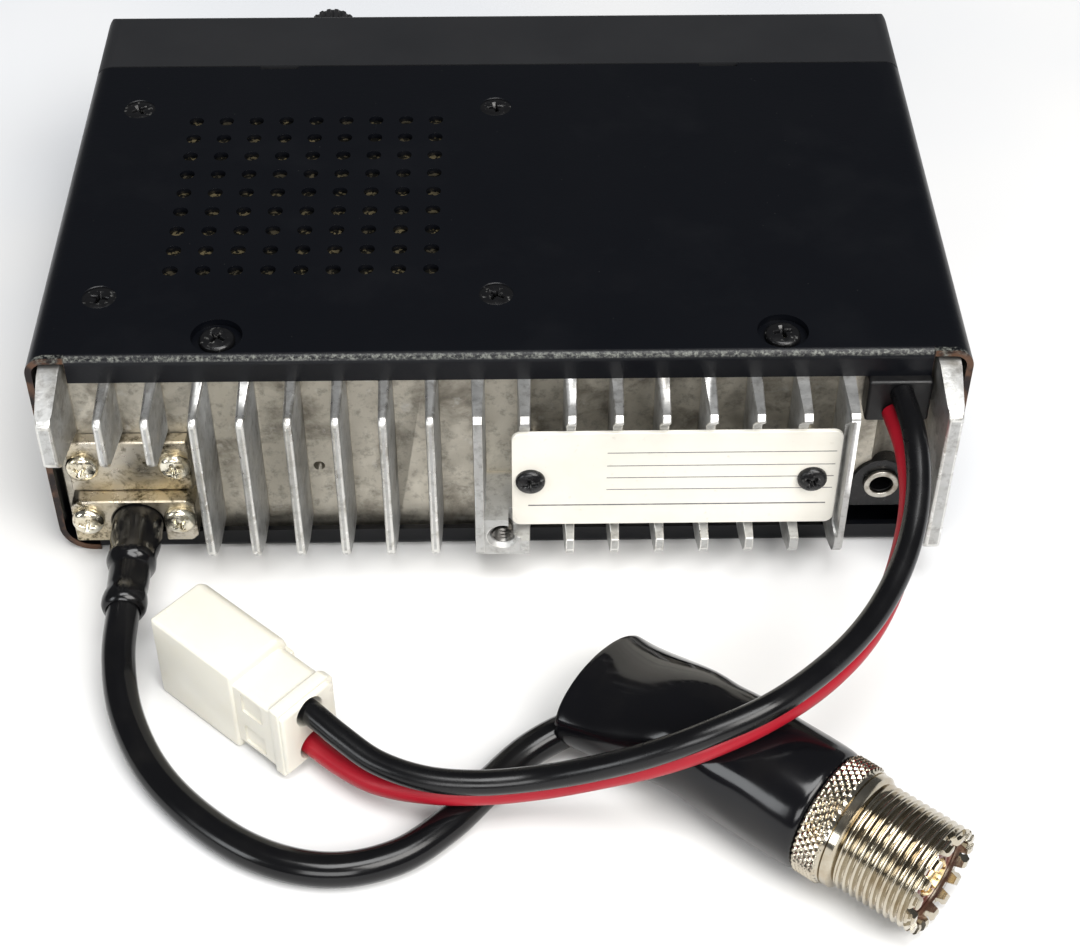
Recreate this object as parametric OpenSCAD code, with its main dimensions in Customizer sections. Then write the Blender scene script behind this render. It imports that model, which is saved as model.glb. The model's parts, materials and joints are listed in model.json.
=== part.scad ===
// Mobile transceiver: a shallow steel-covered case with a plastic control panel in
// front, a die-cast finned heat sink behind, a short antenna lead with a UHF socket
// and a short two-wire power lead with a nylon connector.
// The front faces -Y, the heat sink +Y, and the case stands on z = 0.

/* [Case] */
// Width over the steel covers
case_w = 140; // [120:1:160]
// Height over the steel covers
case_h = 40; // [36:1:50]
// Depth of the steel covers
cover_d = 77; // [60:1:120]
// Sheet thickness of the covers
cover_t = 1; // [0.8:0.1:1.4]
// Outside corner radius of the top cover
top_r = 3; // [2:0.5:5]
// Outside corner radius of the bottom cover
bottom_r = 5; // [3:0.5:7]
// Height of the joint between the two covers
seam_z = 24; // [20:1:28]
// Height of the flange turned in at each cover's rear edge
flange_h = 4.7; // [3:0.1:6]
// Width of that flange
flange_w = 128; // [100:1:134]
// Outside radius of the bend between a cover and its flange
bend_r = 1.5; // [1:0.1:2]
// Distance from the middle to a cover screw, sideways
cover_screw_x = 42; // [30:1:55]

/* [Speaker] */
// Spacing of the sound holes
hole_pitch = 5; // [4:0.5:6]
// Diameter of a sound hole
hole_d = 2.4; // [1.6:0.1:3]
// Sound holes along one side of the square field
hole_rows = 9; // [5:1:11]
// Speaker centre, sideways
speaker_x = 30.6; // [20:0.1:36]
// Speaker centre, front to back
speaker_y = 10.7; // [5:0.1:15]
// Sideways spacing of the speaker screws
speaker_screw_w = 60; // [50:1:64]
// Front to back spacing of the speaker screws
speaker_screw_d = 50; // [44:1:56]

/* [Front panel] */
// Depth of the front panel
panel_d = 18; // [12:1:25]
// Wall thickness of the front panel
panel_t = 2.5; // [1.5:0.5:3]
// How far the volume and squelch knobs stand out
knob_reach = 14; // [8:1:18]
// Radius of the volume and squelch knobs
small_knob_r = 4.8; // [4:0.1:6]
// How far the tuning knob stands out
dial_reach = 11.5; // [8:0.5:14]
// Radius of the tuning knob
dial_r = 11; // [9:0.5:12]
// Width of the display window
window_w = 60; // [50:1:64]
// Height of the display window
window_h = 19; // [14:1:20]
// Spacing of the function keys
key_pitch = 12; // [10.5:0.5:13]
// Width of a function key
key_w = 9; // [6:0.5:9.5]
// Height of a function key
key_h = 5; // [4:0.5:6]
// Travel of a function key
key_travel = 0.5; // [0.3:0.1:1]
// Travel of the power button
power_travel = 2; // [1:0.5:3]

/* [Heat sink] */
// How far the fins stand out behind the covers
fin_out = 9; // [5:0.5:14]
// Spacing of the fins
fin_pitch = 6.9; // [5:0.1:9]
// Fin thickness at its root
fin_root = 2.1; // [1.5:0.1:3]
// Fin thickness at its outer edge
fin_edge = 1.3; // [1:0.1:2]
// Thickness of the base plate
base_t = 3.5; // [3:0.5:6]
// How far the base plate sits inside the rear edge of the covers
base_inset = 2.5; // [1:0.5:5]

/* [Leads] */
// Diameter of the antenna cable
coax_d = 5; // [4.9:0.1:5.4]
// Diameter of one power conductor
wire_d = 3.6; // [3:0.1:4]
// Outer diameter of the UHF thread, 5/8 inch
uhf_d = 15.88; // [15.7:0.01:15.9]
// Outer diameter of the vinyl sleeve
sleeve_d = 18.6; // [17:0.1:20]
// Direction of the antenna connector on the floor, from +X
plug_angle = 140; // [100:1:180]

/* [Hidden] */
depth = fin_out + cover_d + panel_d + knob_reach;
rear_y = depth / 2 - fin_out;
seam_y = rear_y - cover_d;
panel_y = seam_y - panel_d;
fin_y = rear_y + fin_out;
base_y = rear_y - base_inset;
inner_y = base_y - base_t;
lid_z = case_h - cover_t;
$fn = 48;

// Front panel layout
dial_x = 53;
dial_z = 19;
small_x = 31;
volume_z = 28;
squelch_z = 11.5;
mic_x = -57;
mic_z = 14;
mic_r = 7;
power_x = -57;
power_z = 31;
power_w = 11;
power_h = 5.6;
window_x = -16;
window_z = 26;
key_z = 9.5;
board_y = -31;
board_t = 1.6;
wall_y = panel_y + panel_t;
knob_gap = 0.5;

// Rear layout
clamp_x = 57.3;
coax_x = 56.8;
coax_z = 8.2;
boot_r = 4;
boot_end_y = 71;
exit_y = rear_y + 2.3;
plate_x = -26.2;
plate_w = 49.4;
plate_z = 20.4;
plate_h = 19;
plate_y = rear_y + 5.5;
plate_screw_x = [-4.3, -46.9];
gland_x = -59.4;
gland_z = 31.2;
gland_y = rear_y + 1.5;
jack_x = -59.5;
jack_z = 11.4;
jack_r = 1.8;
side_hole_z = 14;
side_hole_y = [-3, 27];

// Antenna lead: route points of the cable, which ends inside the sleeve, then the
// connector on its end
coax_route = [
  [56.8, 52.3, 8.2], [56.8, 61, 8.2], [56.8, 71, 8.2], [56.6, 79.4, 7],
  [54.6, 88.2, 5], [49.8, 97.2, 3.2], [42.4, 105.2, 2.6], [33.4, 111.4, 2.6],
  [23.8, 113.8, 2.6], [14.8, 111.8, 2.6], [7.8, 106.4, 2.6], [2.2, 99.9, 2.6],
  [-3.2, 94.2, 2.9], [-8.8, 91, 3.8], [-14.1, 89.9, 4.8], [-19.1, 90.8, 5.8],
  [-23.8, 93.6, 6.8], [-28, 97, 7.8]
];
plug_x = -14;
plug_y = 85;
sleeve_r = sleeve_d / 2;
ring_s = 39;
thread_s = 45;
plug_len = 57.5;

// Power lead: route points of the two conductors, then the nylon connector, which
// stands on its narrow side
black_route = [
  [-59.6, 51.5, 33.2], [-60.4, 59.5, 32.3], [-60.2, 67.4, 29.4], [-58.2, 75.4, 26.4],
  [-54.6, 83, 24.5], [-49.6, 90.4, 23.7], [-42.9, 97.8, 24], [-35.2, 104.1, 24.4],
  [-26.8, 107.1, 22.6], [-19.3, 107.4, 18.8], [-11.9, 106.2, 14.4], [-4.2, 105.3, 11.3],
  [3.6, 105.4, 10.6], [11, 104.3, 10.3], [17.6, 101.4, 10.3], [22.8, 97.4, 11],
  [27.3, 93.3, 11.6], [31.8, 89.3, 11.6]
];
red_route = [
  [-58.8, 51.5, 29.5], [-59.8, 58.7, 28.6], [-59.8, 66.2, 25.8], [-57.9, 74, 22.8],
  [-54.6, 81.9, 20.9], [-50, 89.4, 20.1], [-43.4, 96.8, 20.2], [-35.3, 103.2, 20.7],
  [-27.7, 106, 18.9], [-20.7, 106.1, 15.3], [-13.3, 104.8, 11], [-5, 104.1, 7.8],
  [3.4, 104.4, 7.1], [11, 103.6, 6.5], [17.6, 101.2, 5.4], [22.8, 97.4, 4.6],
  [27.3, 93.3, 4.4], [31.8, 89.3, 4.4]
];
nylon_x = 31;
nylon_y = 97.4;
nylon_angle = -42;
nylon_len = 27;
nylon_w = 16;
nylon_t = 11;
way_pitch = 7.2;
way_z = 5.5;
way_r = 2.1;
crimp_s = 6;

// ---- helpers ----

// Extrudes an x-z outline from y0 to y1
module along_y(y0, y1) {
  translate([0, y1, 0]) rotate([90, 0, 0]) linear_extrude(y1 - y0) children();
}

// Extrudes a y-z outline from x0 to x1
module along_x(x0, x1) {
  translate([x0, 0, 0]) rotate([90, 0, 90]) linear_extrude(x1 - x0) children();
}

// A cylinder along Y, from y0 to y1, at x, z
module rod_y(r, y0, y1, x, z) {
  translate([x, y1, z]) rotate([90, 0, 0]) cylinder(r = r, h = y1 - y0);
}

// A box from one corner to the opposite one
module block(a, b) {
  translate(a) cube(b - a);
}

// The case outline, moved in by i
module case_outline(i) {
  w = case_w - 2 * i;
  rt = top_r - i;
  rb = bottom_r - i;
  translate([-w / 2, bottom_r]) square([w, case_h - bottom_r - top_r]);
  translate([-w / 2 + rb, i]) square([w - 2 * rb, bottom_r]);
  translate([-w / 2 + rt, case_h - top_r - 1]) square([w - 2 * rt, top_r + 1 - i]);
  for (s = [-1, 1]) {
    translate([s * (w / 2 - rb), bottom_r]) circle(rb);
    translate([s * (w / 2 - rt), case_h - top_r]) circle(rt);
  }
}

// A rectangle with round corners, centred
module round_rect(w, h, r) {
  square([w, h - 2 * r], center = true);
  square([w - 2 * r, h], center = true);
  for (sx = [-1, 1], sy = [-1, 1])
    translate([sx * (w / 2 - r), sy * (h / 2 - r)]) circle(r);
}

// A cross recess in a screw head, cutting down from z = 0
module cross(w, t, deep) {
  translate([-w / 2, -t / 2, -deep]) cube([w, t, deep + 1]);
  translate([-t / 2, -w / 2, -deep]) cube([t, w, deep + 1]);
}

// A pan-head screw along -Z: the head stands on z = 0
module pan_screw(head_r, head_h, shank_r, shank_l) {
  difference() {
    union() {
      cylinder(r = head_r, h = head_h * 0.55);
      translate([0, 0, head_h * 0.55])
        cylinder(r1 = head_r, r2 = head_r * 0.72, h = head_h * 0.45);
      translate([0, 0, -shank_l]) cylinder(r = shank_r, h = shank_l);
    }
    translate([0, 0, head_h]) cross(head_r * 1.05, head_r * 0.24, head_h * 0.6);
  }
}

// A countersunk screw along -Z: the head's face is at z = 0
module flat_screw(head_r, head_h, shank_r, shank_l) {
  difference() {
    union() {
      translate([0, 0, -head_h]) cylinder(r1 = shank_r, r2 = head_r, h = head_h);
      translate([0, 0, -shank_l]) cylinder(r = shank_r, h = shank_l);
    }
    cross(head_r * 1.05, head_r * 0.24, head_h * 0.6);
  }
}

// Puts a screw made along Z at a place on the rear, heading out to +Y
module on_rear(x, y, z) {
  translate([x, y, z]) rotate([-90, 0, 0]) children();
}

// A ring of points around one route point, square to the route there
function unit(v) = v / norm(v);
function heading(p, i) =
  unit(p[min(i + 1, len(p) - 1)] - p[max(i - 1, 0)]);
function ring(c, t, r, n) =
  let (s = unit(cross(t, [0, 0, 1])), u = cross(s, t))
  [for (k = [0 : n - 1]) c + r * (cos(360 * k / n) * s + sin(360 * k / n) * u)];

// A closed tube through the route points; the end rings are square to t0 and t1
module tube(p, d, n, t0, t1) {
  m = len(p);
  pts = [for (i = [0 : m - 1])
    each ring(p[i], i == 0 ? t0 : i == m - 1 ? t1 : heading(p, i), d / 2, n)];
  sides = [for (i = [0 : m - 2], k = [0 : n - 1])
    [i * n + k, i * n + (k + 1) % n, (i + 1) * n + (k + 1) % n, (i + 1) * n + k]];
  first = [for (k = [0 : n - 1]) n - 1 - k];
  last = [for (k = [0 : n - 1]) (m - 1) * n + k];
  polyhedron(pts, concat(sides, [first, last]), convexity = 6);
}

// ---- covers and frame ----

module speaker_screw_places() {
  for (sx = [-1, 1], sy = [-1, 1])
    translate([speaker_x + sx * speaker_screw_w / 2,
               speaker_y + sy * speaker_screw_d / 2, 0])
      children();
}

module top_screw_places() {
  for (s = [-1, 1]) translate([s * cover_screw_x, rear_y - 5, 0]) children();
}

module bottom_screw_places() {
  for (s = [-1, 1]) {
    translate([s * cover_screw_x, rear_y - 6, 0]) children();
    translate([s * 54, seam_y + 10, 0]) children();
  }
}

// What the rounded bend leaves off the rear top edge
module rear_bend() {
  difference() {
    block([-flange_w / 2, rear_y - bend_r, case_h - bend_r],
          [flange_w / 2, rear_y + 1, case_h + 1]);
    along_x(-flange_w / 2 - 1, flange_w / 2 + 1)
      translate([rear_y - bend_r, case_h - bend_r]) circle(bend_r);
  }
}

module top_cover() color([0.10, 0.10, 0.11]) difference() {
  union() {
    along_y(seam_y, rear_y) difference() {
      case_outline(0);
      case_outline(cover_t);
      translate([-case_w, -1]) square([2 * case_w, seam_z + 1.1]);
    }
    block([-flange_w / 2, rear_y - cover_t, case_h - flange_h],
          [flange_w / 2, rear_y, case_h - cover_t / 2]);
    top_screw_places() translate([0, 0, lid_z - 1.2]) cylinder(r = 4.8, h = 1.4);
  }
  top_screw_places() translate([0, 0, lid_z - 0.2]) {
    cylinder(r = 3.85, h = 3);
    translate([0, 0, -3]) cylinder(r = 1.5, h = 4);
  }
  speaker_screw_places() {
    translate([0, 0, lid_z]) cylinder(r1 = 1.5, r2 = 2.7, h = cover_t);
    translate([0, 0, lid_z - 1]) cylinder(r = 1.5, h = 1.5);
    translate([0, 0, case_h - 0.01]) cylinder(r = 2.7, h = 1);
  }
  rear_bend();
  for (s = [-1, 1])
    block([s * 38 - 3.3, seam_y - 1, lid_z - 1], [s * 38 + 3.3, seam_y + 0.8, case_h + 1]);
  half = (hole_rows - 1) / 2;
  for (i = [-half : half], j = [-half : half])
    translate([speaker_x + i * hole_pitch, speaker_y - 1.2 + j * hole_pitch, lid_z - 1])
      cylinder(d = hole_d, h = 3, $fn = 20);
}

module bottom_cover() color([0.12, 0.12, 0.13]) difference() {
  union() {
    along_y(seam_y, rear_y) difference() {
      case_outline(0);
      case_outline(cover_t);
      translate([-case_w, seam_z - 0.1]) square([2 * case_w, case_h]);
    }
    block([-flange_w / 2, rear_y - cover_t, cover_t / 2],
          [flange_w / 2, rear_y, 3.9]);
    bottom_screw_places() cylinder(r = 4.8, h = 2.2);
  }
  bottom_screw_places() translate([0, 0, -1]) {
    cylinder(r = 3.85, h = 2.2);
    cylinder(r = 1.5, h = 5);
  }
  for (s = [-1, 1], y = side_hole_y)
    translate([s * case_w / 2, y, side_hole_z]) rotate([0, 90, 0])
      cylinder(r = 2.4, h = 4, center = true);
  translate([0, 0, case_h]) mirror([0, 0, 1]) rear_bend();
}

rail_x = case_w / 2 - cover_t - 0.2;

module chassis() color([0.72, 0.72, 0.70]) difference() {
  union() {
    for (s = [-1, 1]) {
      along_x(s > 0 ? rail_x - 2.4 : -rail_x, s > 0 ? rail_x : -rail_x + 2.4)
        polygon([[seam_y + 3.5, 6], [inner_y, 6], [inner_y, 36.5], [seam_y + 3.5, 36.5]]);
      for (y = side_hole_y)
        translate([s * (rail_x - 3.4), y, side_hole_z]) rotate([0, 90, 0])
          cylinder(r = 3.4, h = 6.8, center = true);
      translate([s * 54, seam_y + 10, 2.2]) cylinder(r = 3.6, h = 15);
    }
    block([-rail_x + 1, seam_y + 3.5, 17], [rail_x - 1, 34, 18.6]);
    block([-rail_x + 1, seam_y + 3.5, 6], [rail_x - 1, seam_y + 5, 36]);
  }
  for (s = [-1, 1]) {
    for (y = side_hole_y)
      translate([s * (rail_x - 3.4), y, side_hole_z]) rotate([0, 90, 0])
        cylinder(r = 1.65, h = 8, center = true);
    translate([s * 54, seam_y + 10, 0]) cylinder(r = 1.25, h = 12);
  }
  block([-50, seam_y + 2, 8], [50, seam_y + 6, 15.4]);
  block([-52, seam_y + 2, 20.6], [52, seam_y + 6, 33]);
}

// ---- heat sink ----

// One fin at x, with its own side outline
module fin(x, root, edge) {
  intersection() {
    translate([x, 0, 0]) linear_extrude(case_h)
      polygon([[-root / 2, base_y - 0.5], [root / 2, base_y - 0.5],
               [edge / 2, fin_y], [-edge / 2, fin_y]]);
    along_x(x - root, x + root) children();
  }
}

fin_top = case_h - flange_h;

module full_outline() {
  polygon([[base_y - 0.5, 4.6], [rear_y + 3.5, 4.6], [fin_y - 1.2, 6.2],
           [fin_y, 8], [fin_y, fin_top - 0.8], [fin_y - 0.8, fin_top],
           [base_y - 0.5, fin_top]]);
}

module short_outline() {
  polygon([[base_y - 0.5, 23.4], [fin_y - 1.5, 25.2], [fin_y, 26.8],
           [fin_y, fin_top - 0.8], [fin_y - 0.8, fin_top],
           [base_y - 0.5, fin_top]]);
}

// An end fin reaches higher, into the corner beside the cover's flange
module end_outline(low) {
  polygon([[base_y - 0.5, low - 1.8], [fin_y - 1.5, low], [fin_y, low + 1.6],
           [fin_y, fin_top - 0.8], [fin_y - 0.8, fin_top],
           [rear_y + 0.8, 38.1], [base_y - 0.5, 38.1]]);
}

// The notch that the name plate sits in
module plate_notch() {
  along_x(plate_x - plate_w / 2 - 0.6, plate_x + plate_w / 2 + 0.6)
    polygon([[plate_y, 10.2], [fin_y + 1, 10.2], [fin_y + 1, 34.6],
             [fin_y - 0.6, 33.8], [plate_y, 30.6]]);
}

module heat_sink() color([0.66, 0.66, 0.64]) difference() {
  union() {
    block([-68.4, inner_y, 4.6], [68.4, base_y, 36.2]);
    block([-66, inner_y - 4, 34.4], [66, base_y, lid_z - 1.2]);
    block([-60, inner_y - 4, 2.2], [60, base_y, 6]);
    for (k = [0 : 6]) fin((k + 0.5) * fin_pitch, fin_root, fin_edge) full_outline();
    for (k = [7 : 8]) fin((k + 0.5) * fin_pitch, fin_root, fin_edge) short_outline();
    for (k = [0 : 7]) fin(-(k + 0.5) * fin_pitch, fin_root, fin_edge) full_outline();
    fin(66.4, 3.6, 2.3) end_outline(25.2);
    fin(-66.4, 3.6, 2.3) end_outline(6.4);
    block([-fin_pitch / 2, base_y - 0.5, 6.6], [fin_pitch / 2, fin_y - 0.7, 14]);
    for (x = plate_screw_x) rod_y(2.5, base_y - 0.5, plate_y, x, plate_z);
  }
  plate_notch();
  // rear mounting hole in the boss, with its chamfer
  rod_y(1.65, fin_y - 10, fin_y + 1, 0, 10.4);
  on_rear(0, fin_y - 1.5, 10.4) cylinder(r1 = 1.65, r2 = 2.45, h = 0.8);
  // name plate screws
  for (x = plate_screw_x) rod_y(1, plate_y - 6, plate_y + 1, x, plate_z);
  // antenna cable, clamp screws
  rod_y(boot_r, inner_y - 5, base_y + 1, coax_x, coax_z);
  for (s = [-1, 1]) {
    rod_y(1.2, inner_y + 0.6, base_y + 1, clamp_x + s * 7.1, 18.3);
    rod_y(1.2, inner_y + 0.6, base_y + 1, clamp_x + s * 7.1, 9.2);
  }
  // power grommet, speaker jack and the channel between them
  block([gland_x - 3.6, inner_y - 5, gland_z - 2.6], [gland_x + 3.6, base_y + 1, gland_z + 2.6]);
  rod_y(4.6, inner_y - 5, base_y + 1, jack_x, jack_z);
  block([jack_x - 4.6, inner_y - 5, 0], [jack_x + 4.6, base_y + 1, jack_z]);
  translate([jack_x - 1, base_y + 1.4, jack_z]) cylinder(r = 3.2, h = 16);
  // small vent hole and cover screws
  rod_y(0.9, base_y - 2.5, base_y + 1, 28.4, 15.6);
  top_screw_places() translate([0, 0, 33]) cylinder(r = 1.25, h = 6);
  bottom_screw_places() translate([0, 0, 1]) cylinder(r = 1.25, h = 6);
}

module top_cover_screws() color([0.15, 0.15, 0.15]) top_screw_places()
  translate([0, 0, lid_z - 0.2]) pan_screw(2.7, 1.15, 1.25, 4.5);

module bottom_cover_screws() color([0.15, 0.15, 0.15]) bottom_screw_places()
  translate([0, 0, 1.2]) rotate([180, 0, 0]) pan_screw(2.7, 1.15, 1.25, 4.5);

module speaker_screws() color([0.15, 0.15, 0.15]) speaker_screw_places()
  translate([0, 0, case_h]) flat_screw(2.65, 1, 1.45, 5);

// ---- speaker ----

module speaker_mesh() color([0.45, 0.36, 0.18])
  block([speaker_x - 23.5, speaker_y - 24.5, lid_z - 0.4],
        [speaker_x + 23.5, speaker_y + 22.5, lid_z]);

module speaker_frame() color([0.55, 0.56, 0.58]) difference() {
  union() {
    translate([speaker_x, speaker_y, lid_z - 1.4]) linear_extrude(1)
      round_rect(speaker_screw_w + 5, speaker_screw_d + 6, 3);
    translate([speaker_x, speaker_y, 0]) rotate_extrude()
      polygon([[25.5, lid_z - 1.2], [25.5, 35], [15, 27], [15, 26], [16.2, 26],
               [26.7, 34.4], [26.7, lid_z - 1.2]]);
    for (sx = [-1, 1], sy = [-1, 1])
      translate([speaker_x + sx * speaker_screw_w / 2,
                 speaker_y + sy * speaker_screw_d / 2, lid_z - 5.4])
        cylinder(r = 2.4, h = 4.4);
  }
  translate([speaker_x, speaker_y, lid_z - 3]) cylinder(r = 24, h = 4);
  speaker_screw_places() translate([0, 0, 30]) cylinder(r = 1.45, h = 10);
}

module speaker_cone() color([0.14, 0.13, 0.13]) translate([speaker_x, speaker_y, 0])
  rotate_extrude()
    polygon([[0, 31.6], [4, 30.8], [7, 28.6], [23.8, 36.4], [25.4, 36.4],
             [25.4, 35.7], [24, 35.6], [7, 27.6], [0, 27.6]]);

module speaker_magnet() color([0.3, 0.3, 0.32]) translate([speaker_x, speaker_y, 0]) {
  translate([0, 0, 20]) cylinder(r = 15, h = 6);
  translate([0, 0, 26]) cylinder(r = 14.9, h = 1);
}

// ---- rear fittings ----

module name_plate() color([0.90, 0.89, 0.85]) difference() {
  translate([0, 0, plate_z]) along_y(plate_y, plate_y + 0.7)
    translate([plate_x, 0]) round_rect(plate_w, plate_h, 1.4);
  for (x = plate_screw_x) rod_y(1.1, plate_y - 1, plate_y + 2, x, plate_z);
}

module name_plate_screws() color([0.12, 0.12, 0.12]) for (x = plate_screw_x)
  on_rear(x, plate_y + 0.7, plate_z) pan_screw(2.25, 1.3, 1, 5);

module antenna_clamp_upper() color([0.62, 0.56, 0.42]) difference() {
  block([clamp_x - 9.4, base_y, 12.9], [clamp_x + 9.4, base_y + 2.35, 23]);
  for (s = [-1, 1]) rod_y(1.35, base_y - 1, rear_y + 2, clamp_x + s * 7.1, 18.3);
}

module antenna_clamp_lower() color([0.66, 0.60, 0.48]) difference() {
  along_y(base_y, exit_y)
    polygon([[clamp_x - 9.6, 5.2], [clamp_x - 8.6, 4.2], [clamp_x + 9.6, 4.2],
             [clamp_x + 9.6, 11.6], [clamp_x + 8.4, 12.8],
             [clamp_x - 8.4, 12.8], [clamp_x - 9.6, 11.6]]);
  rod_y(boot_r, base_y - 1, exit_y + 1, coax_x, coax_z);
  block([coax_x - boot_r, base_y - 1, 3], [coax_x + boot_r, exit_y + 1, coax_z]);
  for (s = [-1, 1]) rod_y(1.35, base_y - 1, exit_y + 2, clamp_x + s * 7.1, 9.2);
}

module antenna_clamp_screws() color([0.78, 0.76, 0.70]) for (s = [-1, 1]) {
  on_rear(clamp_x + s * 7.1, base_y + 2.35, 18.3) pan_screw(2.5, 1.7, 1.2, 4.5);
  on_rear(clamp_x + s * 7.1, exit_y, 9.2) pan_screw(2.5, 1.7, 1.2, 7);
}

module antenna_boot() color([0.07, 0.07, 0.07]) difference() {
  translate([coax_x, 0, coax_z]) rotate([-90, 0, 0]) rotate_extrude()
    polygon([[0, inner_y + 0.5], [boot_r, inner_y + 0.5], [boot_r, exit_y + 4],
             [3.3, boot_end_y - 3], [3.5, boot_end_y - 2], [3.5, boot_end_y],
             [0, boot_end_y]]);
  rod_y(coax_d / 2, exit_y, boot_end_y + 1, coax_x, coax_z);
}

module antenna_cable() color([0.06, 0.06, 0.06])
  tube(coax_route, coax_d, 10, [0, 1, 0], [cos(plug_angle), sin(plug_angle), 0]);

// Local z runs along the connector from the sleeve's mouth
module on_plug(z) {
  translate([plug_x, plug_y, z]) rotate([0, 90, plug_angle]) children();
}

module antenna_sleeve() color([0.06, 0.06, 0.06]) {
  hull() {
    on_plug(6.2) for (s = [-1, 1]) translate([0, s * 4.6, 0]) cylinder(r = 6.2, h = 0.6, $fn = 32);
    on_plug(sleeve_r) translate([0, 0, 17]) cylinder(r = sleeve_r, h = 0.5, $fn = 32);
  }
  on_plug(sleeve_r) translate([0, 0, 17.5]) cylinder(r = sleeve_r, h = ring_s - 17.5);
}

module uhf_ring() color([0.80, 0.79, 0.74]) on_plug(sleeve_r)
  translate([0, 0, ring_s]) cylinder(r = 9, h = 4.2);

module uhf_shell() color([0.80, 0.79, 0.74]) on_plug(sleeve_r) difference() {
  union() {
    translate([0, 0, ring_s + 4.2]) cylinder(r = 8.5, h = thread_s - ring_s - 4.2);
    translate([0, 0, thread_s]) cylinder(d = uhf_d, h = plug_len - thread_s);
  }
  translate([0, 0, ring_s + 5]) cylinder(r = 6.4, h = 20);
  for (k = [0 : 7]) rotate([0, 0, k * 22.5 + 11])
    translate([-10, -0.75, plug_len - 1.3]) cube([20, 1.5, 3]);
}

module uhf_insulator() color([0.42, 0.16, 0.10]) on_plug(sleeve_r) difference() {
  translate([0, 0, ring_s + 5]) cylinder(r = 6.4, h = plug_len - ring_s - 7);
  translate([0, 0, ring_s + 7]) cylinder(r = 3, h = 20);
}

module uhf_contact() color([0.82, 0.72, 0.45]) on_plug(sleeve_r) difference() {
  translate([0, 0, ring_s + 7]) cylinder(r = 3, h = plug_len - ring_s - 8.2);
  translate([0, 0, ring_s + 9]) cylinder(r = 2.03, h = 20);
  for (k = [0, 90]) rotate([0, 0, k]) translate([-5, -0.3, plug_len - 7]) cube([10, 0.6, 9]);
}

module power_grommet() color([0.05, 0.05, 0.05]) {
  block([gland_x - 4.8, base_y, gland_z - 3.7], [gland_x + 4.8, gland_y, fin_top]);
  block([gland_x - 3.6, inner_y - 1, gland_z - 2.6], [gland_x + 3.6, base_y, gland_z + 2.6]);
}

module power_wire_black() color([0.05, 0.05, 0.05])
  tube(black_route, wire_d, 8, [0, 1, 0], [cos(nylon_angle), sin(nylon_angle), 0]);

module power_wire_red() color([0.70, 0.03, 0.06])
  tube(red_route, wire_d, 8, [0, 1, 0], [cos(nylon_angle), sin(nylon_angle), 0]);

// Local x runs along the connector from its cable end, y across its ways, z through it
module on_nylon() {
  translate([nylon_x, nylon_y, nylon_w / 2]) rotate([90, 0, nylon_angle]) children();
}

// Both ways of the connector, from s0 on
module ways(s0) {
  for (s = [-1, 1]) translate([s0, s * way_pitch / 2, way_z]) rotate([0, 90, 0]) children();
}

module power_connector() color([0.92, 0.91, 0.87]) on_nylon() difference() {
  union() {
    block([0, -6.2, 0.4], [12, 6.2, nylon_t - 0.4]);
    block([10, -nylon_w / 2, 0], [nylon_len, nylon_w / 2, nylon_t]);
    block([11, -2.2, nylon_t], [16, 2.2, nylon_t + 1.6]);
    block([11, -2.2, nylon_t + 1], [24, 2.2, nylon_t + 1.8]);
  }
  ways(-1) cylinder(r = way_r, h = nylon_len + 2);
}

module power_contacts() color([0.80, 0.70, 0.40]) on_nylon() ways(crimp_s) {
  cylinder(r = 1.9, h = 6);
  cylinder(r = 1.05, h = 18);
}

module speaker_jack() color([0.06, 0.06, 0.06]) difference() {
  union() {
    rod_y(4.6, inner_y - 4, base_y + 0.6, jack_x, jack_z);
    block([jack_x - 4.6, inner_y - 4, 6.2], [jack_x + 4.6, base_y + 0.6, jack_z]);
  }
  rod_y(jack_r, inner_y - 3.5, base_y + 1, jack_x, jack_z);
}

module speaker_jack_ring() color([0.72, 0.71, 0.68]) difference() {
  rod_y(2.8, base_y + 0.6, base_y + 1.4, jack_x, jack_z);
  rod_y(jack_r, base_y, base_y + 2, jack_x, jack_z);
}

// ---- front panel ----

// Everything inside this outline has the panel's rounded front edges
module panel_block() {
  intersection() {
    along_y(panel_y, seam_y - 0.4) case_outline(0);
    along_x(-case_w, case_w) union() {
      translate([panel_y, 3]) square([panel_d, case_h - 6]);
      translate([panel_y + 3, 0]) square([panel_d, case_h]);
      for (z = [3, case_h - 3]) translate([panel_y + 3, z]) circle(3);
    }
    linear_extrude(case_h) union() {
      translate([-case_w / 2 + 3, panel_y]) square([case_w - 6, panel_d]);
      translate([-case_w / 2, panel_y + 3]) square([case_w, panel_d]);
      for (s = [-1, 1]) translate([s * (case_w / 2 - 3), panel_y + 3]) circle(3);
    }
  }
}

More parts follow.
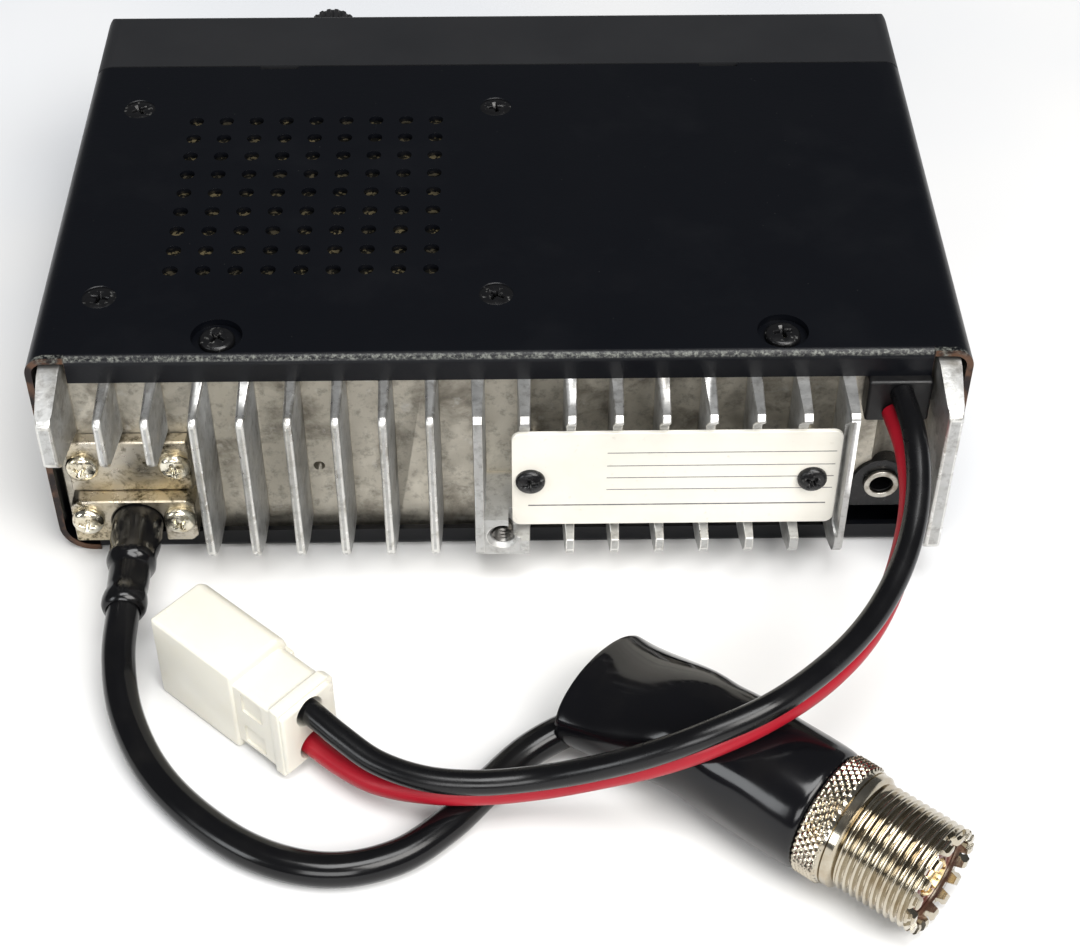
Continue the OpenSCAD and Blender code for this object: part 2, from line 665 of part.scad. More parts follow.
module front_panel() color([0.16, 0.16, 0.17]) difference() {
  union() {
    difference() {
      panel_block();
      along_y(wall_y, seam_y + 1) case_outline(panel_t);
    }
    along_y(seam_y - 1.4, seam_y + 2.6) difference() {
      case_outline(cover_t + 0.1);
      case_outline(panel_t);
    }
  }
  // display window, with the step that the lens sits in
  translate([window_x, 0, window_z]) {
    block([-window_w / 2, panel_y - 1, -window_h / 2], [window_w / 2, panel_y + 1.2, window_h / 2]);
    block([-window_w / 2 + 3, panel_y - 1, -window_h / 2 + 2.5],
          [window_w / 2 - 3, wall_y + 1, window_h / 2 - 2.5]);
  }
  for (k = [-2 : 2]) translate([window_x + k * key_pitch, 0, key_z])
    block([-key_w / 2 - 0.35, panel_y - 1, -key_h / 2 - 0.35],
          [key_w / 2 + 0.35, wall_y + 1, key_h / 2 + 0.35]);
  translate([power_x, 0, power_z])
    block([-power_w / 2 - 0.35, panel_y - 1, -power_h / 2 - 0.35],
          [power_w / 2 + 0.35, wall_y + 1, power_h / 2 + 0.35]);
  rod_y(mic_r + 1.3, panel_y - 1, wall_y + 1, mic_x, mic_z);
  rod_y(4, panel_y - 1, wall_y + 1, dial_x, dial_z);
  rod_y(3.8, panel_y - 1, wall_y + 1, small_x, volume_z);
  rod_y(3.8, panel_y - 1, wall_y + 1, small_x, squelch_z);
}

module display_lens() color([0.25, 0.18, 0.10]) translate([window_x, 0, window_z])
  block([-window_w / 2 + 0.1, panel_y, -window_h / 2 + 0.1],
        [window_w / 2 - 0.1, panel_y + 1.2, window_h / 2 - 0.1]);

module lcd_module() color([0.55, 0.50, 0.30]) translate([window_x, 0, window_z]) {
  block([-window_w / 2 + 2, wall_y, -window_h / 2 + 1.5],
        [window_w / 2 - 2, wall_y + 2.4, window_h / 2 - 1.5]);
  block([-window_w / 2 + 1, wall_y + 2.4, -window_h / 2 + 0.6],
        [window_w / 2 - 1, board_y, window_h / 2 - 0.6]);
}

module display_board() color([0.10, 0.34, 0.20])
  block([-62, board_y, 5], [62, board_y + board_t, 35]);

module panel_switches() color([0.2, 0.2, 0.21]) {
  for (k = [-2 : 2]) translate([window_x + k * key_pitch, 0, key_z]) {
    block([-3, board_y - 3.4, -3], [3, board_y, 3]);
    rod_y(1.7, board_y - 4, board_y - 3.4, 0, 0);
  }
  translate([power_x, 0, power_z]) block([-4, board_y - 2.6, -3], [4, board_y, 3]);
}

// A knob along Y: a fluted body with a plain rim, and its blind shaft bore
module knob(x, z, r, reach, flutes, bore) {
  difference() {
    union() {
      along_y(panel_y - reach + 1.4, panel_y - knob_gap - 1.2) translate([x, z])
        difference() {
          circle(r);
          for (k = [0 : flutes - 1]) rotate(k * 360 / flutes)
            translate([r + 0.15, 0]) circle(0.45, $fn = 16);
        }
      rod_y(r, panel_y - knob_gap - 1.2, panel_y - knob_gap, x, z);
      translate([x, panel_y - reach, z]) rotate([-90, 0, 0])
        cylinder(r1 = r - 1, r2 = r - 0.3, h = 1.4);
    }
    rod_y(bore, panel_y - reach + 1.5, panel_y, x, z);
    children();
  }
}

module tuning_knob() color([0.10, 0.10, 0.10])
  knob(dial_x, dial_z, dial_r, dial_reach, 40, 3)
    rod_y(2.6, panel_y - dial_reach - 1, panel_y - dial_reach + 0.8, dial_x, dial_z + dial_r * 0.56);

module volume_knob() color([0.10, 0.10, 0.10])
  knob(small_x, volume_z, small_knob_r, knob_reach, 20, 2)
    block([small_x - 0.3, panel_y - knob_reach - 1, volume_z + 1.2],
          [small_x + 0.3, panel_y - knob_reach + 0.5, volume_z + small_knob_r]);

module squelch_knob() color([0.10, 0.10, 0.10])
  knob(small_x, squelch_z, small_knob_r, knob_reach, 20, 2)
    block([small_x - 0.3, panel_y - knob_reach - 1, squelch_z + 1.2],
          [small_x + 0.3, panel_y - knob_reach + 0.5, squelch_z + small_knob_r]);

module tuning_shaft() color([0.75, 0.75, 0.74])
  rod_y(3, panel_y - dial_reach + 1.5, board_y - 1.5, dial_x, dial_z);

module volume_shaft() color([0.75, 0.75, 0.74])
  rod_y(2, panel_y - knob_reach + 1.5, board_y - 1.5, small_x, volume_z);

module squelch_shaft() color([0.75, 0.75, 0.74])
  rod_y(2, panel_y - knob_reach + 1.5, board_y - 1.5, small_x, squelch_z);

// The fixed half of a rotary control: body, threaded neck and the shaft's bearing
module rotary(x, z, size, deep, neck_r, bore) {
  difference() {
    union() {
      block([x - size / 2, board_y - deep, z - size / 2],
            [x + size / 2, board_y, z + size / 2]);
      rod_y(neck_r, panel_y + 0.6, board_y - deep, x, z);
    }
    rod_y(bore, panel_y - 1, board_y - 1.2, x, z);
  }
}

module tuning_encoder() color([0.35, 0.36, 0.38])
  rotary(dial_x, dial_z, 13, 7, 3.7, 3.05);

module volume_pot() color([0.35, 0.36, 0.38])
  rotary(small_x, volume_z, 11, 6.5, 3.4, 2.05);

module squelch_pot() color([0.35, 0.36, 0.38])
  rotary(small_x, squelch_z, 11, 6.5, 3.4, 2.05);

// A push button along Y: cap, retaining flange behind the panel wall, and stem
module button(x, z, w, h, stands, flange_x, stem_y) {
  block([x - w / 2, panel_y - stands, z - h / 2], [x + w / 2, wall_y + 0.4, z + h / 2]);
  block([x - w / 2 - flange_x, wall_y + 0.4, z - h / 2 - 0.9],
        [x + w / 2 + flange_x, wall_y + 1.2, z + h / 2 + 0.9]);
  rod_y(1.5, wall_y + 1.2, stem_y, x, z);
}

module key(k) color([0.22, 0.22, 0.23])
  button(window_x + (k - 3) * key_pitch, key_z, key_w, key_h, 0.9, 0.9,
         board_y - 4.3 - key_travel);

module key_1() key(1);
module key_2() key(2);
module key_3() key(3);
module key_4() key(4);
module key_5() key(5);

module power_button() color([0.20, 0.20, 0.21])
  button(power_x, power_z, power_w, power_h, 3.2, 0.9, board_y - 2.9 - power_travel);

module mic_shell() color([0.78, 0.78, 0.76]) difference() {
  union() {
    rod_y(mic_r + 1.3, panel_y - 3, panel_y + 8, mic_x, mic_z);
    rod_y(mic_r + 2.3, panel_y - 0.9, panel_y, mic_x, mic_z);
    translate([0, wall_y, 0]) along_y(0, 2) translate([mic_x, mic_z])
      circle(mic_r + 3, $fn = 6);
  }
  rod_y(mic_r, panel_y - 4, panel_y + 9, mic_x, mic_z);
}

module mic_insert() color([0.12, 0.12, 0.12])
  rod_y(mic_r, panel_y + 5, panel_y + 8, mic_x, mic_z);

module mic_pins() color([0.85, 0.76, 0.48]) {
  for (k = [0 : 6])
    rod_y(0.5, panel_y + 1.6, panel_y + 5,
          mic_x + 4.3 * sin(k * 360 / 7), mic_z + 4.3 * cos(k * 360 / 7));
  rod_y(0.5, panel_y + 1.6, panel_y + 5, mic_x, mic_z);
}

// ---- boards inside ----

module main_board() color([0.10, 0.32, 0.18]) {
  block([-61, -13, 12.6], [61, 33, 14.2]);
  for (x = [-48, -32, 8, 36]) translate([x, 4, 10]) cube([12, 12, 5.2], center = true);
  for (p = [[-50, 24], [-20, 26], [24, 24], [50, 20], [-10, -6]])
    translate([p[0], p[1], 3.6]) cylinder(r = 4, h = 9);
  for (x = [-40, 0, 40]) block([x - 3, -12, 14.2], [x + 3, -8, 17]);
  for (x = [-40, 0, 40]) block([x - 3, 28, 14.2], [x + 3, 32, 17]);
}

module rf_board() color([0.10, 0.32, 0.18]) {
  block([-62, -20, 20.6], [-6, 33, 22.2]);
  for (p = [[-58, -17], [-10, -17], [-58, 30], [-10, 30]])
    translate([p[0], p[1], 18.6]) cylinder(r = 2, h = 2);
  for (k = [0 : 4]) block([-58 + k * 9, 20, 22.2], [-51 + k * 9, 27, 31]);
  block([-58, 0, 22.2], [-46, 9, 33]);
  for (p = [[-14, -4], [-14, 8]]) translate([p[0], p[1], 22.2]) cylinder(r = 4, h = 11);
}

module vco_shield() color([0.78, 0.78, 0.76]) difference() {
  block([-42, -4, 22.2], [-21, 14, 33]);
  block([-41.6, -3.6, 21], [-21.4, 13.6, 32.6]);
}

module pa_module() color([0.72, 0.70, 0.66]) {
  block([-34, inner_y - 1.6, 8], [22, inner_y, 26]);
  block([-30, inner_y - 7, 9], [18, inner_y - 1.6, 25]);
}

module ribbon_cable() color([0.62, 0.62, 0.60]) {
  block([-40, board_y + board_t, 25.6], [-20, -17.6, 26.3]);
  block([-40.6, -17.6, 22.2], [-19.4, -14, 27]);
}

top_cover();
bottom_cover();
chassis();
heat_sink();
top_cover_screws();
bottom_cover_screws();
speaker_screws();
speaker_mesh();
speaker_frame();
speaker_cone();
speaker_magnet();
name_plate();
name_plate_screws();
antenna_clamp_upper();
antenna_clamp_lower();
antenna_clamp_screws();
antenna_boot();
antenna_cable();
antenna_sleeve();
uhf_ring();
uhf_shell();
uhf_insulator();
uhf_contact();
power_grommet();
power_wire_black();
power_wire_red();
power_connector();
power_contacts();
speaker_jack();
speaker_jack_ring();
front_panel();
display_lens();
lcd_module();
display_board();
panel_switches();
tuning_knob();
tuning_shaft();
tuning_encoder();
volume_knob();
volume_shaft();
volume_pot();
squelch_knob();
squelch_shaft();
squelch_pot();
power_button();
key_1();
key_2();
key_3();
key_4();
key_5();
mic_shell();
mic_insert();
mic_pins();
main_board();
rf_board();
vco_shield();
pa_module();
ribbon_cable();
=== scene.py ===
import json
import math

import bmesh
import bpy
from mathutils import Matrix, Vector, noise


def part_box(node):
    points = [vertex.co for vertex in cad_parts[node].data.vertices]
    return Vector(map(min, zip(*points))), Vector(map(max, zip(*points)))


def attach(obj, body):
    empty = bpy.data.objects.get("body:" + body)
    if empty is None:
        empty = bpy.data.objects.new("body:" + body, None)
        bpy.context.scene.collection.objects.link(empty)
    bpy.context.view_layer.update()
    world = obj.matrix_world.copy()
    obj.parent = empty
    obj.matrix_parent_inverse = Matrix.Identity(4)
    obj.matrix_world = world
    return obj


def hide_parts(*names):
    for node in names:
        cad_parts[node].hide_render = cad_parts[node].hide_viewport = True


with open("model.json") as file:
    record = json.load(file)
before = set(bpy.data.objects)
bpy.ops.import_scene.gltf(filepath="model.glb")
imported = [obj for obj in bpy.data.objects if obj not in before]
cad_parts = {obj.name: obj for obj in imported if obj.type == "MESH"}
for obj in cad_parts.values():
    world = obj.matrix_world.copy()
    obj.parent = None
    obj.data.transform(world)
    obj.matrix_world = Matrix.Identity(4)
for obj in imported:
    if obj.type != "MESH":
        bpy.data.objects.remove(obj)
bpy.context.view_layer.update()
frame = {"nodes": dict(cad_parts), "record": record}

# The row frame, as in part.scad: x to the left of the photo, y out of the rear, z up.
# Lengths below are in millimetres, and become metres where they are used.
MM = 0.001
FIN_PITCH = 6.9
BASE_PLATE_Y = 47.5  # rear face of the heat sink's base plate
FIN_EDGE_Y = 50.5  # behind this only the fins' outer edges are rounded
COVER_EDGE_Y = 49.2  # behind this are only the covers' rear edges
FLANGE_END_X = 64.0  # half the width of the flange at each cover's rear edge
BEND_LINE = 89.12  # y + z along the middle of the top cover's rear bend

# The smallest angles, in degrees, of an edge that is rounded and of one that shades sharp
ROUNDED_EDGE = 28
SHADED_EDGE = 38

NODES = frame["nodes"]
SLOT_OF = {s["node"]: s["material_slot"] for s in frame["record"]["subparts"]}
BODY_OF = {
    node: body
    for body, nodes in frame["record"]["behaviour"]["bodies"].items()
    for node in nodes
}


# ---- camera -------------------------------------------------------------

def make_camera():
    """The photo's camera, fitted to the corners of the case."""
    data = bpy.data.cameras.new("camera")
    data.sensor_width = 36
    data.lens = 68.1
    data.clip_start, data.clip_end = 0.01, 20
    camera = bpy.data.objects.new("camera", data)
    bpy.context.scene.collection.objects.link(camera)
    right = Vector((-0.999848, 0.017216, 0.002874))
    forward = Vector((-0.014356, -0.717485, -0.696426))
    up = right.cross(forward)
    turn = Matrix((right, up, -forward)).transposed()
    place = Vector((-1.327, 277.05, 235.773)) * MM
    camera.matrix_world = Matrix.Translation(place) @ turn.to_4x4()
    bpy.context.scene.camera = camera


make_camera()


# ---- materials ----------------------------------------------------------

class Material:
    """A procedural material round one Principled shader, its textures fixed to the piece."""

    def __init__(self, name, color, rough, metal=0.0, **more):
        self.mat = bpy.data.materials.new(name)
        self.mat.use_nodes = True
        self.tree = self.mat.node_tree
        self.bsdf = self.tree.nodes["Principled BSDF"]
        self.coords = self.tree.nodes.new("ShaderNodeTexCoord").outputs["Object"]
        self.set("Base Color", (*color, 1))
        self.set("Roughness", rough)
        self.set("Metallic", metal)
        for key, value in more.items():
            self.set(key.replace("_", " "), value)
        self.color = color
        self.height = None

    def set(self, socket, value):
        """A value that is the same all over the surface."""
        self.bsdf.inputs[socket].default_value = value

    def join(self, output, socket):
        self.tree.links.new(output, socket)

    def node(self, kind, inputs=(), **props):
        made = self.tree.nodes.new(kind)
        for key, value in props.items():
            setattr(made, key, value)
        for key, value in dict(inputs).items():
            if isinstance(value, bpy.types.NodeSocket):
                self.join(value, made.inputs[key])
            else:
                made.inputs[key].default_value = value
        return made

    def mapped(self, stretch):
        if stretch == (1, 1, 1):
            return self.coords
        return self.node("ShaderNodeMapping", {"Vector": self.coords, "Scale": stretch}).outputs[0]

    def noise(self, size_mm, detail=3.0, rough=0.55, stretch=(1, 1, 1), warp=0.0):
        """Noise whose blobs are about size_mm across, from 0 to 1."""
        return self.node(
            "ShaderNodeTexNoise",
            {"Vector": self.mapped(stretch), "Scale": 0.6 / (size_mm * MM), "Detail": detail,
             "Roughness": rough, "Distortion": warp},
        ).outputs["Fac"]

    def cells(self, size_mm, feature="F1"):
        """Distance to the middle or the edge of cells about size_mm across."""
        return self.node(
            "ShaderNodeTexVoronoi",
            {"Vector": self.coords, "Scale": 1 / (size_mm * MM)},
            feature=feature,
        ).outputs["Distance"]

    def axes(self):
        """The x, y and z of a point of the surface, in metres."""
        return self.node("ShaderNodeSeparateXYZ", {"Vector": self.coords}).outputs

    def remap(self, value, low, high, to_low=0.0, to_high=1.0):
        return self.node(
            "ShaderNodeMapRange",
            {"Value": value, "From Min": low, "From Max": high,
             "To Min": to_low, "To Max": to_high},
        ).outputs[0]

    def calc(self, operation, a, b=0.0):
        return self.node("ShaderNodeMath", {0: a, 1: b}, operation=operation).outputs[0]

    def mix(self, factor, a, b):
        made = self.node("ShaderNodeMix", data_type="RGBA")
        for index, value in ((0, factor), (6, a), (7, b)):
            if isinstance(value, bpy.types.NodeSocket):
                self.join(value, made.inputs[index])
            elif index == 0:
                made.inputs[index].default_value = value
            else:
                made.inputs[index].default_value = (*value, 1)
        return made.outputs[2]

    def shade(self, *layers):
        """Colours laid over the base colour, each by its own mask."""
        below = self.color
        for mask, color in layers:
            below = self.mix(mask, below, color)
        self.join(below, self.bsdf.inputs["Base Color"])

    def gloss(self, value, low, high):
        """Roughness from low to high, over the range that noise mostly keeps to."""
        self.join(self.remap(value, 0.3, 0.7, low, high), self.bsdf.inputs["Roughness"])

    def bump(self, value, depth_mm, strength=1.0):
        """Relief depth_mm deep, over any relief that is there already."""
        made = self.node(
            "ShaderNodeBump", {"Height": value, "Distance": depth_mm * MM, "Strength": strength}
        )
        if self.height is not None:
            self.join(self.height, made.inputs["Normal"])
        self.height = made.outputs[0]
        self.join(self.height, self.bsdf.inputs["Normal"])


def make_materials():
    made = {}

    def put(name, *args, **more):
        made[name] = Material(name, *args, **more)
        return made[name]

    m = put("cover_paint", (0.0018, 0.0022, 0.0036), 0.36, Specular_IOR_Level=0.22)
    m.gloss(m.noise(14, 4), 0.30, 0.40)
    x, y, z = m.axes()
    # Painted highlight: a speckled light band along the middle of the top cover's rear bend.
    bend = m.remap(m.calc("ADD", y, z), (BEND_LINE - 0.16) * MM, BEND_LINE * MM)
    bend_highlight = m.calc("MULTIPLY", bend, m.remap(m.noise(0.36, 5, 0.75), 0.46, 0.62))
    side = m.remap(m.calc("ABSOLUTE", x), (FLANGE_END_X - 0.1) * MM, (FLANGE_END_X + 0.2) * MM)
    cut = m.calc("MULTIPLY", side, m.remap(y, 49.82 * MM, 49.9 * MM))
    rust = m.calc("MULTIPLY", cut, m.remap(m.noise(1.6, 5), 0.44, 0.58, 0.1, 1))
    m.shade((m.remap(m.noise(9, 5), 0.55, 0.85, 0, 0.5), (0.006, 0.0065, 0.008)),
            (m.remap(m.cells(3.1), 0.0, 0.035, 0.55, 0), (0.05, 0.05, 0.045)),
            # painted highlight along the rear bend
            (bend_highlight, (0.14, 0.145, 0.13)),
            (rust, (0.075, 0.038, 0.022)))
    m.bump(m.noise(0.55, 2), 0.05, 0.45)
    m.bump(m.noise(0.22, 2), 0.02, 0.4)

    m = put("bare_edge", (0.15, 0.075, 0.042), 0.5, 0.55)
    m.shade((m.remap(m.noise(2.4, 4), 0.42, 0.6), (0.035, 0.02, 0.014)),
            (m.remap(m.noise(0.7, 3), 0.55, 0.7), (0.42, 0.33, 0.24)))
    m.bump(m.noise(0.3), 0.03, 0.5)

    m = put("cast_aluminium", (0.48, 0.482, 0.474), 0.44, 0.86)
    y = m.axes()[1]
    # Blotchy darkening, strongest next to the base plate: partly real stains, partly painted shade
    # between the fins.
    deep = m.remap(y, (BASE_PLATE_Y + 0.5) * MM, (BASE_PLATE_Y + 9.5) * MM, 1, 0)
    plate = m.remap(y, (BASE_PLATE_Y + 0.2) * MM, (BASE_PLATE_Y + 0.8) * MM, 0.85, 0)
    stain_and_shade = m.remap(m.noise(5.5, 6, 0.62, warp=0.4), 0.50, 0.66)
    speck = m.remap(m.noise(0.9, 5, 0.7), 0.50, 0.68)
    m.shade((plate, (0.57, 0.53, 0.445)),
            # stains, deepened near the base plate by painted shade between the fins
            (m.calc("MULTIPLY", stain_and_shade, m.remap(deep, 0, 1, 0.25, 0.85)), (0.20, 0.18, 0.145)),
            (m.calc("MULTIPLY", speck, 0.45), (0.11, 0.10, 0.085)),
            (m.remap(m.noise(1.6, 4), 0.62, 0.75, 0, 0.5), (0.72, 0.71, 0.68)))
    m.gloss(m.noise(2.2, 5), 0.36, 0.60)
    m.bump(m.noise(0.5, 4, 0.65), 0.09, 0.5)
    m.bump(m.noise(3.5, 3), 0.25, 0.25)

    m = put("cast_edge", (0.66, 0.655, 0.63), 0.34, 0.92)
    m.shade((m.remap(m.noise(1.8, 5, 0.65), 0.48, 0.66, 0, 0.75), (0.34, 0.32, 0.28)),
            (m.remap(m.noise(0.5, 3), 0.58, 0.7), (0.85, 0.85, 0.83)))
    m.gloss(m.noise(1.1, 4), 0.24, 0.48)
    m.bump(m.noise(0.45, 4, 0.6), 0.08, 0.5)

    m = put("clamp_nickel", (0.52, 0.45, 0.32), 0.34, 0.95)
    grime = m.remap(m.noise(3.2, 6, 0.7, warp=0.6), 0.46, 0.62)
    m.shade((m.remap(m.noise(5, 4), 0.40, 0.62), (0.50, 0.46, 0.39)),
            (m.calc("MULTIPLY", grime, m.remap(m.noise(0.35, 3), 0.40, 0.56)), (0.085, 0.07, 0.04)),
            (m.remap(m.cells(1.3), 0.0, 0.12, 0.8, 0), (0.13, 0.10, 0.06)))
    m.gloss(m.noise(1.7, 5), 0.22, 0.46)
    m.bump(m.noise(0.6, 4), 0.04, 0.4)

    m = put("screw_nickel", (0.78, 0.74, 0.62), 0.19, 1.0)
    m.shade((m.remap(m.noise(1.5, 5, 0.65), 0.46, 0.66, 0, 0.8), (0.50, 0.42, 0.27)),
            (m.remap(m.noise(0.5, 4), 0.58, 0.68, 0, 0.7), (0.12, 0.09, 0.06)))
    m.gloss(m.noise(0.9, 4), 0.12, 0.32)
    m.bump(m.noise(0.5, 3), 0.015, 0.4)

    m = put("black_screw", (0.004, 0.004, 0.0045), 0.26, Specular_IOR_Level=0.35)
    m.shade((m.remap(m.noise(0.5, 4), 0.60, 0.70, 0, 0.7), (0.12, 0.12, 0.115)))
    m.gloss(m.noise(0.8, 3), 0.18, 0.4)
    m.bump(m.noise(0.3, 3), 0.02, 0.4)

    m = put("speaker_mesh", (0.07, 0.06, 0.04), 0.4, 0.7)
    weave = m.noise(0.5, 2)
    m.shade((m.remap(m.noise(4, 4), 0.42, 0.6), (0.20, 0.165, 0.09)),
            (m.remap(weave, 0.43, 0.50), (0.008, 0.0075, 0.006)))
    m.bump(weave, 0.12, 0.8)

    m = put("speaker_steel", (0.52, 0.53, 0.55), 0.35, 1.0)
    m.shade((m.remap(m.noise(2.5, 5), 0.48, 0.68, 0, 0.6), (0.38, 0.37, 0.35)))
    m.gloss(m.noise(3, 4), 0.28, 0.45)
    m.bump(m.noise(0.4), 0.01, 0.4)

    m = put("cone_paper", (0.03, 0.028, 0.026), 0.85)
    m.shade((m.remap(m.noise(0.6, 5), 0.45, 0.65), (0.045, 0.041, 0.036)))
    m.gloss(m.noise(1, 3), 0.78, 0.92)
    m.bump(m.noise(0.35, 4), 0.06, 0.6)

    m = put("magnet", (0.06, 0.06, 0.065), 0.55, 0.3)
    m.shade((m.remap(m.noise(1.4, 5), 0.45, 0.65), (0.10, 0.098, 0.095)))
    m.gloss(m.noise(1, 3), 0.45, 0.62)
    m.bump(m.noise(0.5, 4), 0.03, 0.5)

    m = put("plate_white", (0.73, 0.71, 0.645), 0.42)
    m.shade((m.remap(m.noise(9, 5, 0.6), 0.42, 0.70, 0, 0.55), (0.64, 0.61, 0.53)),
            (m.remap(m.noise(0.8, 4), 0.64, 0.76, 0, 0.5), (0.52, 0.49, 0.42)))
    m.gloss(m.noise(5, 4), 0.34, 0.5)
    m.bump(m.noise(1.2, 3), 0.01, 0.3)

    m = put("plate_ink", (0.10, 0.10, 0.105), 0.5)
    m.shade((m.remap(m.noise(0.7, 3), 0.45, 0.7, 0, 0.5), (0.30, 0.29, 0.27)))
    m.bump(m.noise(0.2), 0.004, 0.3)

    m = put("boot_vinyl", (0.003, 0.003, 0.0035), 0.2, Specular_IOR_Level=0.32)
    m.shade((m.remap(m.noise(2, 4), 0.5, 0.7, 0, 0.6), (0.008, 0.0075, 0.007)))
    m.gloss(m.noise(2.4, 4), 0.10, 0.24)
    m.bump(m.noise(2.6, 3, stretch=(1, 0.45, 1)), 0.22, 0.35)
    m.bump(m.noise(0.35, 3), 0.01, 0.4)

    m = put("coax_jacket", (0.003, 0.003, 0.0035), 0.2, Specular_IOR_Level=0.3)
    m.shade((m.remap(m.noise(5, 5), 0.5, 0.7, 0, 0.6), (0.0065, 0.0062, 0.006)))
    m.gloss(m.noise(6, 4), 0.12, 0.23)
    m.bump(m.noise(3.5, 2), 0.05, 0.25)
    m.bump(m.noise(0.3, 3), 0.006, 0.35)

    m = put("sleeve_vinyl", (0.003, 0.003, 0.0038), 0.16, Specular_IOR_Level=0.32)
    m.shade((m.remap(m.noise(6, 5), 0.5, 0.7, 0, 0.6), (0.0065, 0.006, 0.006)))
    m.gloss(m.noise(7, 4), 0.07, 0.18)
    m.bump(m.noise(9, 3), 0.35, 0.25)
    m.bump(m.noise(0.5, 3), 0.006, 0.4)

    m = put("connector_nickel", (0.50, 0.455, 0.37), 0.16, 1.0)
    m.shade((m.remap(m.noise(2.4, 5, 0.6), 0.48, 0.66, 0, 0.6), (0.34, 0.27, 0.175)))
    m.gloss(m.noise(1.5, 4), 0.10, 0.22)
    m.bump(m.noise(0.5, 3), 0.003, 0.3)

    m = put("phenolic", (0.085, 0.014, 0.009), 0.3)
    m.shade((m.remap(m.noise(1.4, 4), 0.45, 0.65, 0, 0.7), (0.14, 0.028, 0.016)))
    m.gloss(m.noise(1.5, 3), 0.22, 0.42)
    m.bump(m.noise(0.5, 3), 0.02, 0.3)

    m = put("contact_gold", (0.80, 0.62, 0.34), 0.22, 1.0)
    m.shade((m.remap(m.noise(1.0, 4), 0.5, 0.7, 0, 0.6), (0.5, 0.36, 0.18)))
    m.gloss(m.noise(0.8, 3), 0.15, 0.35)
    m.bump(m.noise(0.3), 0.006, 0.4)

    m = put("grommet_rubber", (0.0035, 0.0035, 0.004), 0.42, Specular_IOR_Level=0.3)
    m.shade((m.remap(m.noise(1.5, 5), 0.5, 0.7, 0, 0.6), (0.010, 0.0095, 0.009)))
    m.gloss(m.noise(1.6, 4), 0.28, 0.5)
    m.bump(m.noise(0.5, 3), 0.03, 0.5)

    for name, rough, color in (("wire_black", 0.24, (0.003, 0.003, 0.0035)),
                               ("wire_red", 0.42, (0.31, 0.004, 0.014))):
        darker = tuple(0.55 * c for c in color)
        m = put(name, color, 0.3, Specular_IOR_Level=0.32)
        m.shade((m.remap(m.noise(5, 4), 0.45, 0.75, 0, 0.35), darker))
        m.gloss(m.noise(4, 4), rough - 0.06, rough + 0.08)
        m.bump(m.noise(2.6, 2), 0.04, 0.25)
        m.bump(m.noise(0.25, 3), 0.005, 0.4)

    m = put("white_nylon", (0.66, 0.64, 0.565), 0.36, Subsurface_Weight=0.25,
            Subsurface_Radius=(0.0016, 0.0014, 0.0010))
    m.shade((m.remap(m.noise(8, 3), 0.4, 0.7, 0, 0.5), (0.62, 0.585, 0.49)))
    m.gloss(m.noise(4, 4), 0.26, 0.42)
    m.bump(m.noise(0.5, 3), 0.012, 0.35)

    m = put("thread_steel", (0.17, 0.165, 0.155), 0.28, 1.0)
    m.shade((m.remap(m.noise(0.8, 4), 0.45, 0.62, 0, 0.8), (0.06, 0.055, 0.05)))
    m.bump(m.noise(0.4, 3), 0.01, 0.5)

    m = put("jack_plastic", (0.004, 0.004, 0.0045), 0.3, Specular_IOR_Level=0.35)
    m.shade((m.remap(m.noise(0.9, 4), 0.5, 0.7, 0, 0.6), (0.011, 0.0105, 0.010)))
    m.gloss(m.noise(0.8, 3), 0.22, 0.42)
    m.bump(m.noise(0.4, 3), 0.015, 0.5)

    m = put("jack_ring", (0.50, 0.48, 0.43), 0.3, 1.0)
    m.shade((m.remap(m.noise(1.2, 4), 0.45, 0.62, 0, 0.8), (0.22, 0.19, 0.15)))
    m.bump(m.noise(0.4, 3), 0.01, 0.5)

    m = put("panel_plastic", (0.011, 0.0115, 0.013), 0.5, Specular_IOR_Level=0.35)
    m.gloss(m.noise(12, 4), 0.44, 0.58)
    m.shade((m.remap(m.noise(16, 4), 0.4, 0.8, 0, 0.4), (0.016, 0.016, 0.017)))
    m.bump(m.noise(0.32, 2), 0.03, 0.5)

    m = put("window", (0.30, 0.20, 0.10), 0.06, Transmission_Weight=0.85, IOR=1.49)
    m.gloss(m.noise(14, 3), 0.04, 0.1)

    m = put("display", (0.50, 0.30, 0.07), 0.3)
    m.shade((m.remap(m.noise(20, 2), 0.4, 0.7, 0, 0.5), (0.42, 0.24, 0.05)))
    m.gloss(m.noise(6, 3), 0.24, 0.36)
    m.bump(m.noise(0.3, 2), 0.004, 0.3)

    m = put("circuit_board", (0.02, 0.12, 0.05), 0.36)
    m.gloss(m.noise(4, 4), 0.28, 0.44)
    tracks = m.remap(m.cells(2.6, "DISTANCE_TO_EDGE"), 0.04, 0.08)
    m.shade((m.calc("MULTIPLY", tracks, 0.6), (0.03, 0.19, 0.08)))
    m.bump(tracks, 0.03, 0.5)

    m = put("switch_plastic", (0.02, 0.02, 0.022), 0.45)
    m.shade((m.remap(m.noise(1.2, 4), 0.5, 0.7, 0, 0.6), (0.034, 0.034, 0.035)))
    m.gloss(m.noise(1, 3), 0.38, 0.52)
    m.bump(m.noise(0.4, 3), 0.02, 0.5)

    m = put("knob_plastic", (0.012, 0.012, 0.013), 0.42)
    m.shade((m.remap(m.noise(2.4, 5), 0.5, 0.72, 0, 0.7), (0.022, 0.0215, 0.021)))
    m.gloss(m.noise(3, 4), 0.34, 0.52)
    m.bump(m.noise(0.28, 3), 0.025, 0.5)

    m = put("pointer_white", (0.75, 0.74, 0.70), 0.45)
    m.shade((m.remap(m.noise(0.5, 4), 0.5, 0.7, 0, 0.7), (0.60, 0.58, 0.53)))
    m.gloss(m.noise(0.6, 3), 0.38, 0.52)
    m.bump(m.noise(0.3, 2), 0.01, 0.3)

